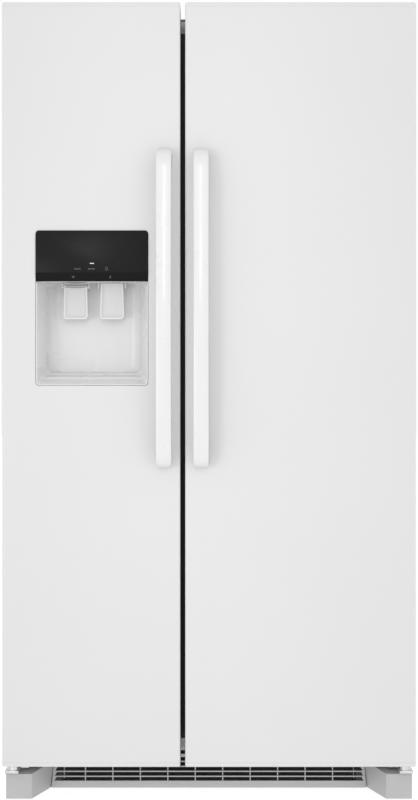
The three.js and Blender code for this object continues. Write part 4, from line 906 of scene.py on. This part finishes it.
def build_icons():
    """Plain marks in place of the touch labels: cubes, chips, a lamp, a crystal and a drop."""
    low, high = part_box("dispenser_fascia")
    split = low.z + FASCIA_STRIP
    front = low.y + FASCIA_SET_BACK
    middle = (low.x + high.x) / 2
    thin = 0.45 * MM
    print_lift = 0.06 * MM
    row = split + 9 * MM
    drop_row = low.z + FASCIA_STRIP / 2
    drop_shift = 41 * MM

    def on_panel(z):
        return front - print_lift

    def on_strip(z):
        t = (split - z) / (FASCIA_STRIP + 0.7 * MM)
        return front + STRIP_STEP + (STRIP_LEAN - STRIP_STEP) * t - print_lift

    half_x, half_z = 4.4 * MM, 0.9 * MM
    bar = [Vector(p) for p in ((-half_x, -half_z), (half_x, -half_z), (half_x, half_z), (-half_x, half_z))]
    icon("icon_status", [bar], (middle + 0.3 * MM, row + 12.1 * MM), on_panel, "icon_light")
    cubes = []
    for shift in (-5.0, 0.0, 5.0):
        square = polygon(4, 2.1 * MM, math.pi / 4)
        cubes += stroke([(x + shift * MM, z) for x, z in square], thin, closed=True)
    icon("icon_cubes", cubes, (middle - 31.5 * MM, row), on_panel, "icon_grey")
    chips = []
    for shift, size, turn in ((-6.0, 1.5, 0.3), (-2.2, 1.9, 1.2), (2.0, 1.4, 2.0), (5.8, 1.8, 0.8)):
        triangle = polygon(3, size * MM, turn)
        chips += stroke([(x + shift * MM, z) for x, z in triangle], thin, closed=True)
    icon("icon_chips", chips, (middle - MM, row), on_panel, "icon_grey")
    lamp = stroke(polygon(12, 2.6 * MM, stretch=1.3), thin, closed=True)
    lamp += stroke([(-1.2 * MM, -4.5 * MM), (1.2 * MM, -4.5 * MM)], thin)
    icon("icon_lamp", lamp, (middle + 33 * MM, row + MM), on_panel, "icon_grey")
    crystal = []
    for i in range(3):
        angle = math.pi * i / 3 + math.pi / 2
        arm = (2.6 * MM * math.cos(angle), 2.6 * MM * math.sin(angle))
        crystal += stroke([(-arm[0], -arm[1]), arm], thin)
    icon("icon_ice", crystal, (middle - drop_shift, drop_row), on_strip, "icon_grey")
    belly = polygon(12, 1.9 * MM, math.radians(40))[:9]
    drop = stroke([(0.0, 2.8 * MM)] + [(x, z - 0.8 * MM) for x, z in belly], thin, closed=True)
    icon("icon_water", drop, (middle + drop_shift, drop_row), on_strip, "icon_grey")


# ------------------------------------------------------------------ cabinet
def build_wrapper():
    """Bent sheet over the sides and top, with a folded front flange."""
    low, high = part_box("cabinet_wrapper")
    r = BODY_RADIUS
    bends = 8
    profile = [(low.x, low.z)]
    for bend_x, start in ((low.x + r, 180), (high.x - r, 90)):
        for i in range(bends + 1):
            angle = math.radians(start - 90 * i / bends)
            profile.append((bend_x + r * math.cos(angle), high.z - r + r * math.sin(angle)))
    profile.append((high.x, low.z))
    edge = 1.5 * MM
    flange = 34 * MM
    centre = (low.x + high.x) / 2
    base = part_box("freezer_liner")[0].z
    rings = []
    for inset, y in ((flange, 0.0), (edge, 0.0), (0.3 * edge, 0.25 * edge), (0.0, edge)):
        ring = []
        for x, z in profile:
            scale = (abs(x - centre) - inset) / abs(x - centre)
            lowered = z - inset if z > base + 0.1 else z
            ring.append((centre + (x - centre) * scale, low.y + y, lowered))
        rings.append(ring)
    rings.append([(x, high.y, z) for x, z in profile])
    count = len(profile)
    vertices = [p for ring in rings for p in ring]
    faces = []
    for k in range(len(rings) - 1):
        for i in range(count - 1):
            a, b = k * count, (k + 1) * count
            faces.append((a + i, a + i + 1, b + i + 1, b + i))
    wrapper = add_mesh("cabinet_skin", vertices, faces, "enamel", smooth_angle=50)
    thicken(wrapper, 1 * MM)
    place(wrapper, "cabinet", "cabinet_wrapper", slot="enamel")


def build_mullion_trim_and_shade():
    """Dark strip between the compartments, behind the gap between the doors, partly a dark trim and partly
    painted shade that keeps the gap dark; and a pad over it, painted shade at the top of the gap.
    """
    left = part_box("freezer_liner")
    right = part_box("fresh_food_liner")
    middle = (left[1].x + right[0].x) / 2
    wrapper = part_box("cabinet_wrapper")
    face = wrapper[0].y
    half, header_half = 31 * MM, 8 * MM
    # dark trim that also paints shade into the gap between the doors
    cover = rounded_block(
        "mullion_trim_and_shade",
        (middle - half, face + 0.05 * MM, left[0].z),
        (middle + half, face + 1.2 * MM, left[1].z),
        0.4 * MM,
        "gasket_rubber",
    )
    place(cover, "cabinet", slot="gasket_rubber")
    # painted shade: dark pad at the top of the gap
    header = rounded_block(
        "header_painted_shade",
        (middle - header_half, face - 0.4 * MM, left[1].z - 1 * MM),
        (middle + header_half, face + 0.6 * MM, wrapper[1].z - BODY_RADIUS),
        0.3 * MM,
        "gasket_rubber",
    )
    place(header, "cabinet", slot="gasket_rubber")


def screw_head(name, x, y, z):
    """Screw facing the back: a hexagon head, slightly domed, on a round flange."""
    radius, height = 4.5 * MM, 2.0 * MM
    points = 24
    sixth = math.pi / 3
    rings = []
    for scale, depth, flats in (
        (1.5, 0.0, False), (1.5, 0.5, False), (1.0, 0.7, True), (1.0, 1.8, True), (0.86, 2.0, True)
    ):
        ring = []
        for i in range(points):
            angle = 2 * math.pi * i / points
            reach = radius * scale
            if flats:
                reach *= math.cos(sixth / 2) / math.cos((angle % sixth) - sixth / 2)
            ring.append((x + reach * math.cos(angle), y - height + depth * MM, z + reach * math.sin(angle)))
        rings.append(ring)
    screw = ring_skin(name, rings, "zinc", close_first=True)
    place(screw, "cabinet", slot="zinc")


def dress_cabinet():
    dress("freezer_liner", "white_plastic", 1.0 * MM)
    dress("fresh_food_liner", "white_plastic", 1.0 * MM)
    dress("cabinet_foam", "foam")
    dress("rear_panel", "galvanised", 0.3 * MM)
    dress("machine_cover", "galvanised", 0.25 * MM)
    dress("base_frame", "galvanised", 0.3 * MM)
    dress("toe_grille", "grey_plastic", 0.5 * MM)
    for side in ("left", "right"):
        dress(f"foot_cover_{side}", "grey_plastic", 1.8 * MM, segments=4)
        dress(f"bottom_hinge_{side}", "zinc", 0.8 * MM)
        dress(f"top_hinge_{side}", "zinc", 0.7 * MM)
        dress(f"hinge_cap_{side}", "white_plastic", 1.8 * MM, segments=3)
        dress(f"front_roller_{side}", "dark_plastic", 0.4 * MM)
    dress("rear_roller_axle", "dark_plastic", 0.4 * MM)


def dress_machine():
    dress("compressor", "black_paint", smooth_angle=40)
    dress("condenser", "black_paint", smooth_angle=60)
    dress("condenser_fan", "dark_plastic", 0.5 * MM)


def dress_freezer():
    dress("evaporator", "aluminium", smooth_angle=60)
    dress("evaporator_cover", "white_plastic", 0.8 * MM)
    dress("evaporator_fan", "dark_plastic", 0.5 * MM)
    for level in ("lower", "middle", "upper"):
        dress(f"freezer_shelf_{level}", "clear_plastic", 1.2 * MM)
    dress("freezer_basket", "white_plastic", 1.2 * MM)
    dress("ice_bin", "clear_plastic", 1.2 * MM)
    dress("ice_maker", "white_plastic", 1.5 * MM)
    dress("ice_maker_arm", "zinc", 0.6 * MM)


def dress_fresh_food():
    for node in ("crisper_lower", "crisper_upper"):
        dress(node, "clear_plastic", 1.2 * MM)
    for node in ("crisper_cover", "shelf_lower", "shelf_upper"):
        dress(node, "shelf_glass", 1.0 * MM)
    dress("control_housing", "white_plastic", 1.5 * MM)
    dress("water_filter", "filter_blue", 0.5 * MM)


def dress_doors():
    for side in ("freezer", "fresh_food"):
        dress(f"{side}_door_foam", "foam")
        dress(f"{side}_door_liner", "white_plastic", 1.0 * MM)
        dress(f"{side}_door_gasket", "gasket_rubber", 0.8 * MM)
        dress(f"{side}_bin_lower", "clear_plastic", 0.9 * MM)
        dress(f"{side}_bin_upper", "clear_plastic", 0.9 * MM)
    dress("dairy_bin", "clear_plastic", 0.9 * MM)
    dress("dairy_lid", "clear_plastic", 0.8 * MM)
    dress("chute_flap", "dark_plastic", 0.4 * MM)


def build_screws():
    """A row of screws down each edge of the rear panel."""
    low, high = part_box("rear_panel")
    inset = 14 * MM
    rows = 5
    for side, x in (("left", low.x + inset), ("right", high.x - inset)):
        for i in range(rows):
            z = low.z + inset + (high.z - low.z - 2 * inset) * i / (rows - 1)
            screw_head(f"rear_screw_{side}_{i}", x, high.y, z)


# ------------------------------------------------------------------ stage
def build_stage():
    """Pale floor that goes on past the view."""
    half = 30
    corners = [(-half, -half, 0), (half, -half, 0), (half, half, 0), (-half, half, 0)]
    floor = add_mesh("floor", corners, [(0, 1, 2, 3)], "floor_white")
    floor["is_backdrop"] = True


def build_underfloor():
    """Dark plate behind the grille: painted shadow under the refrigerator, which keeps the floor's glow out
    from under it.
    """
    low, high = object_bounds()
    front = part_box("toe_grille")[1].y + 4 * MM
    inset = 12 * MM
    shadow_plate = rounded_block(
        "painted_shadow_plate",
        (low.x + inset, front, 0.0),
        (high.x - inset, high.y - inset, 0.2 * MM),
        0.09 * MM,
        "painted_shadow_grey",
        segments=2,
    )
    shadow_plate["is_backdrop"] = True


def add_lamp(name, kind, power, place_at, look_at):
    """A lamp at one point that faces another."""
    lamp = bpy.data.lights.new(name, kind)
    lamp.energy = power
    obj = bpy.data.objects.new(name, lamp)
    bpy.context.scene.collection.objects.link(obj)
    obj.location = place_at
    obj.rotation_euler = (Vector(look_at) - Vector(place_at)).to_track_quat("-Z", "Y").to_euler()
    return obj


def area_light(name, power, place_at, look_at, size):
    lamp = add_lamp(name, "AREA", power, place_at, look_at).data
    lamp.shape = "RECTANGLE"
    lamp.size, lamp.size_y = size


def spot_light(name, power, place_at, look_at):
    """A soft round lamp whose oval pool of light fades out towards the sides of the doors."""
    obj = add_lamp(name, "SPOT", power, place_at, look_at)
    obj.data.spot_size = math.radians(62)
    obj.data.spot_blend = 1.0
    obj.data.shadow_soft_size = 0.35
    obj.scale = (0.2, 1.0, 1.0)


def build_light():
    """White surround, soft boxes at the sides, above and in front, and a spot from the left."""
    world = bpy.data.worlds.new("studio")
    world.use_nodes = True
    background = world.node_tree.nodes["Background"]
    background.inputs["Color"].default_value = grey(1.0)
    background.inputs["Strength"].default_value = 0.985
    bpy.context.scene.world = world
    doors = (0, -0.4, 1.0)
    area_light("left_box", 5, (-1.7, -2.7, 0.72), doors, (0.5, 1.4))
    area_light("right_box", 3.5, (1.7, -2.7, 0.72), doors, (0.5, 1.4))
    area_light("high_strip", 9.5, (-0.1, -3.45, 1.9), (-0.1, -0.43, 1.1), (0.3, 1.1))
    area_light("front", 2, (-0.4, -3.8, 0.6), (0, -0.4, 0.9), (4.0, 3.0))
    spot_light("key", 44, (-1.5, -3.1, 0.9), (-0.03, -0.4, 0.95))


def build_camera():
    """Level camera straight in front of the doors."""
    data = bpy.data.cameras.new("camera")
    data.lens = CAMERA_LENS
    data.sensor_width = 36
    camera = bpy.data.objects.new("camera", data)
    bpy.context.scene.collection.objects.link(camera)
    camera.location = (0, door_face() - CAMERA_DISTANCE, CAMERA_HEIGHT)
    camera.rotation_euler = (math.radians(90), 0, 0)
    bpy.context.scene.camera = camera


make_materials()
build_camera()
build_door("freezer_door", "freezer_door_panel")
build_door("fresh_food_door", "fresh_food_door_panel")
build_handle("freezer_door", "freezer_handle")
build_handle("fresh_food_door", "fresh_food_handle")
build_tub()
build_tub_joint_shade()
build_chute_mouth()
cut_chute_hole()
build_chute_duct()
build_fascia()
build_fascia_strip()
build_icons()
build_paddle("ice_paddle", 0.07, 2.5 * MM)
build_paddle("water_paddle", 0.1, 1.2 * MM)
build_paddle_lip()
build_paddle_ears()
build_wrapper()
build_mullion_trim_and_shade()
build_screws()
dress_cabinet()
dress_machine()
dress_freezer()
dress_fresh_food()
dress_doors()
build_stage()
build_underfloor()
build_light()
bpy.context.scene.view_settings.view_transform = "Standard"
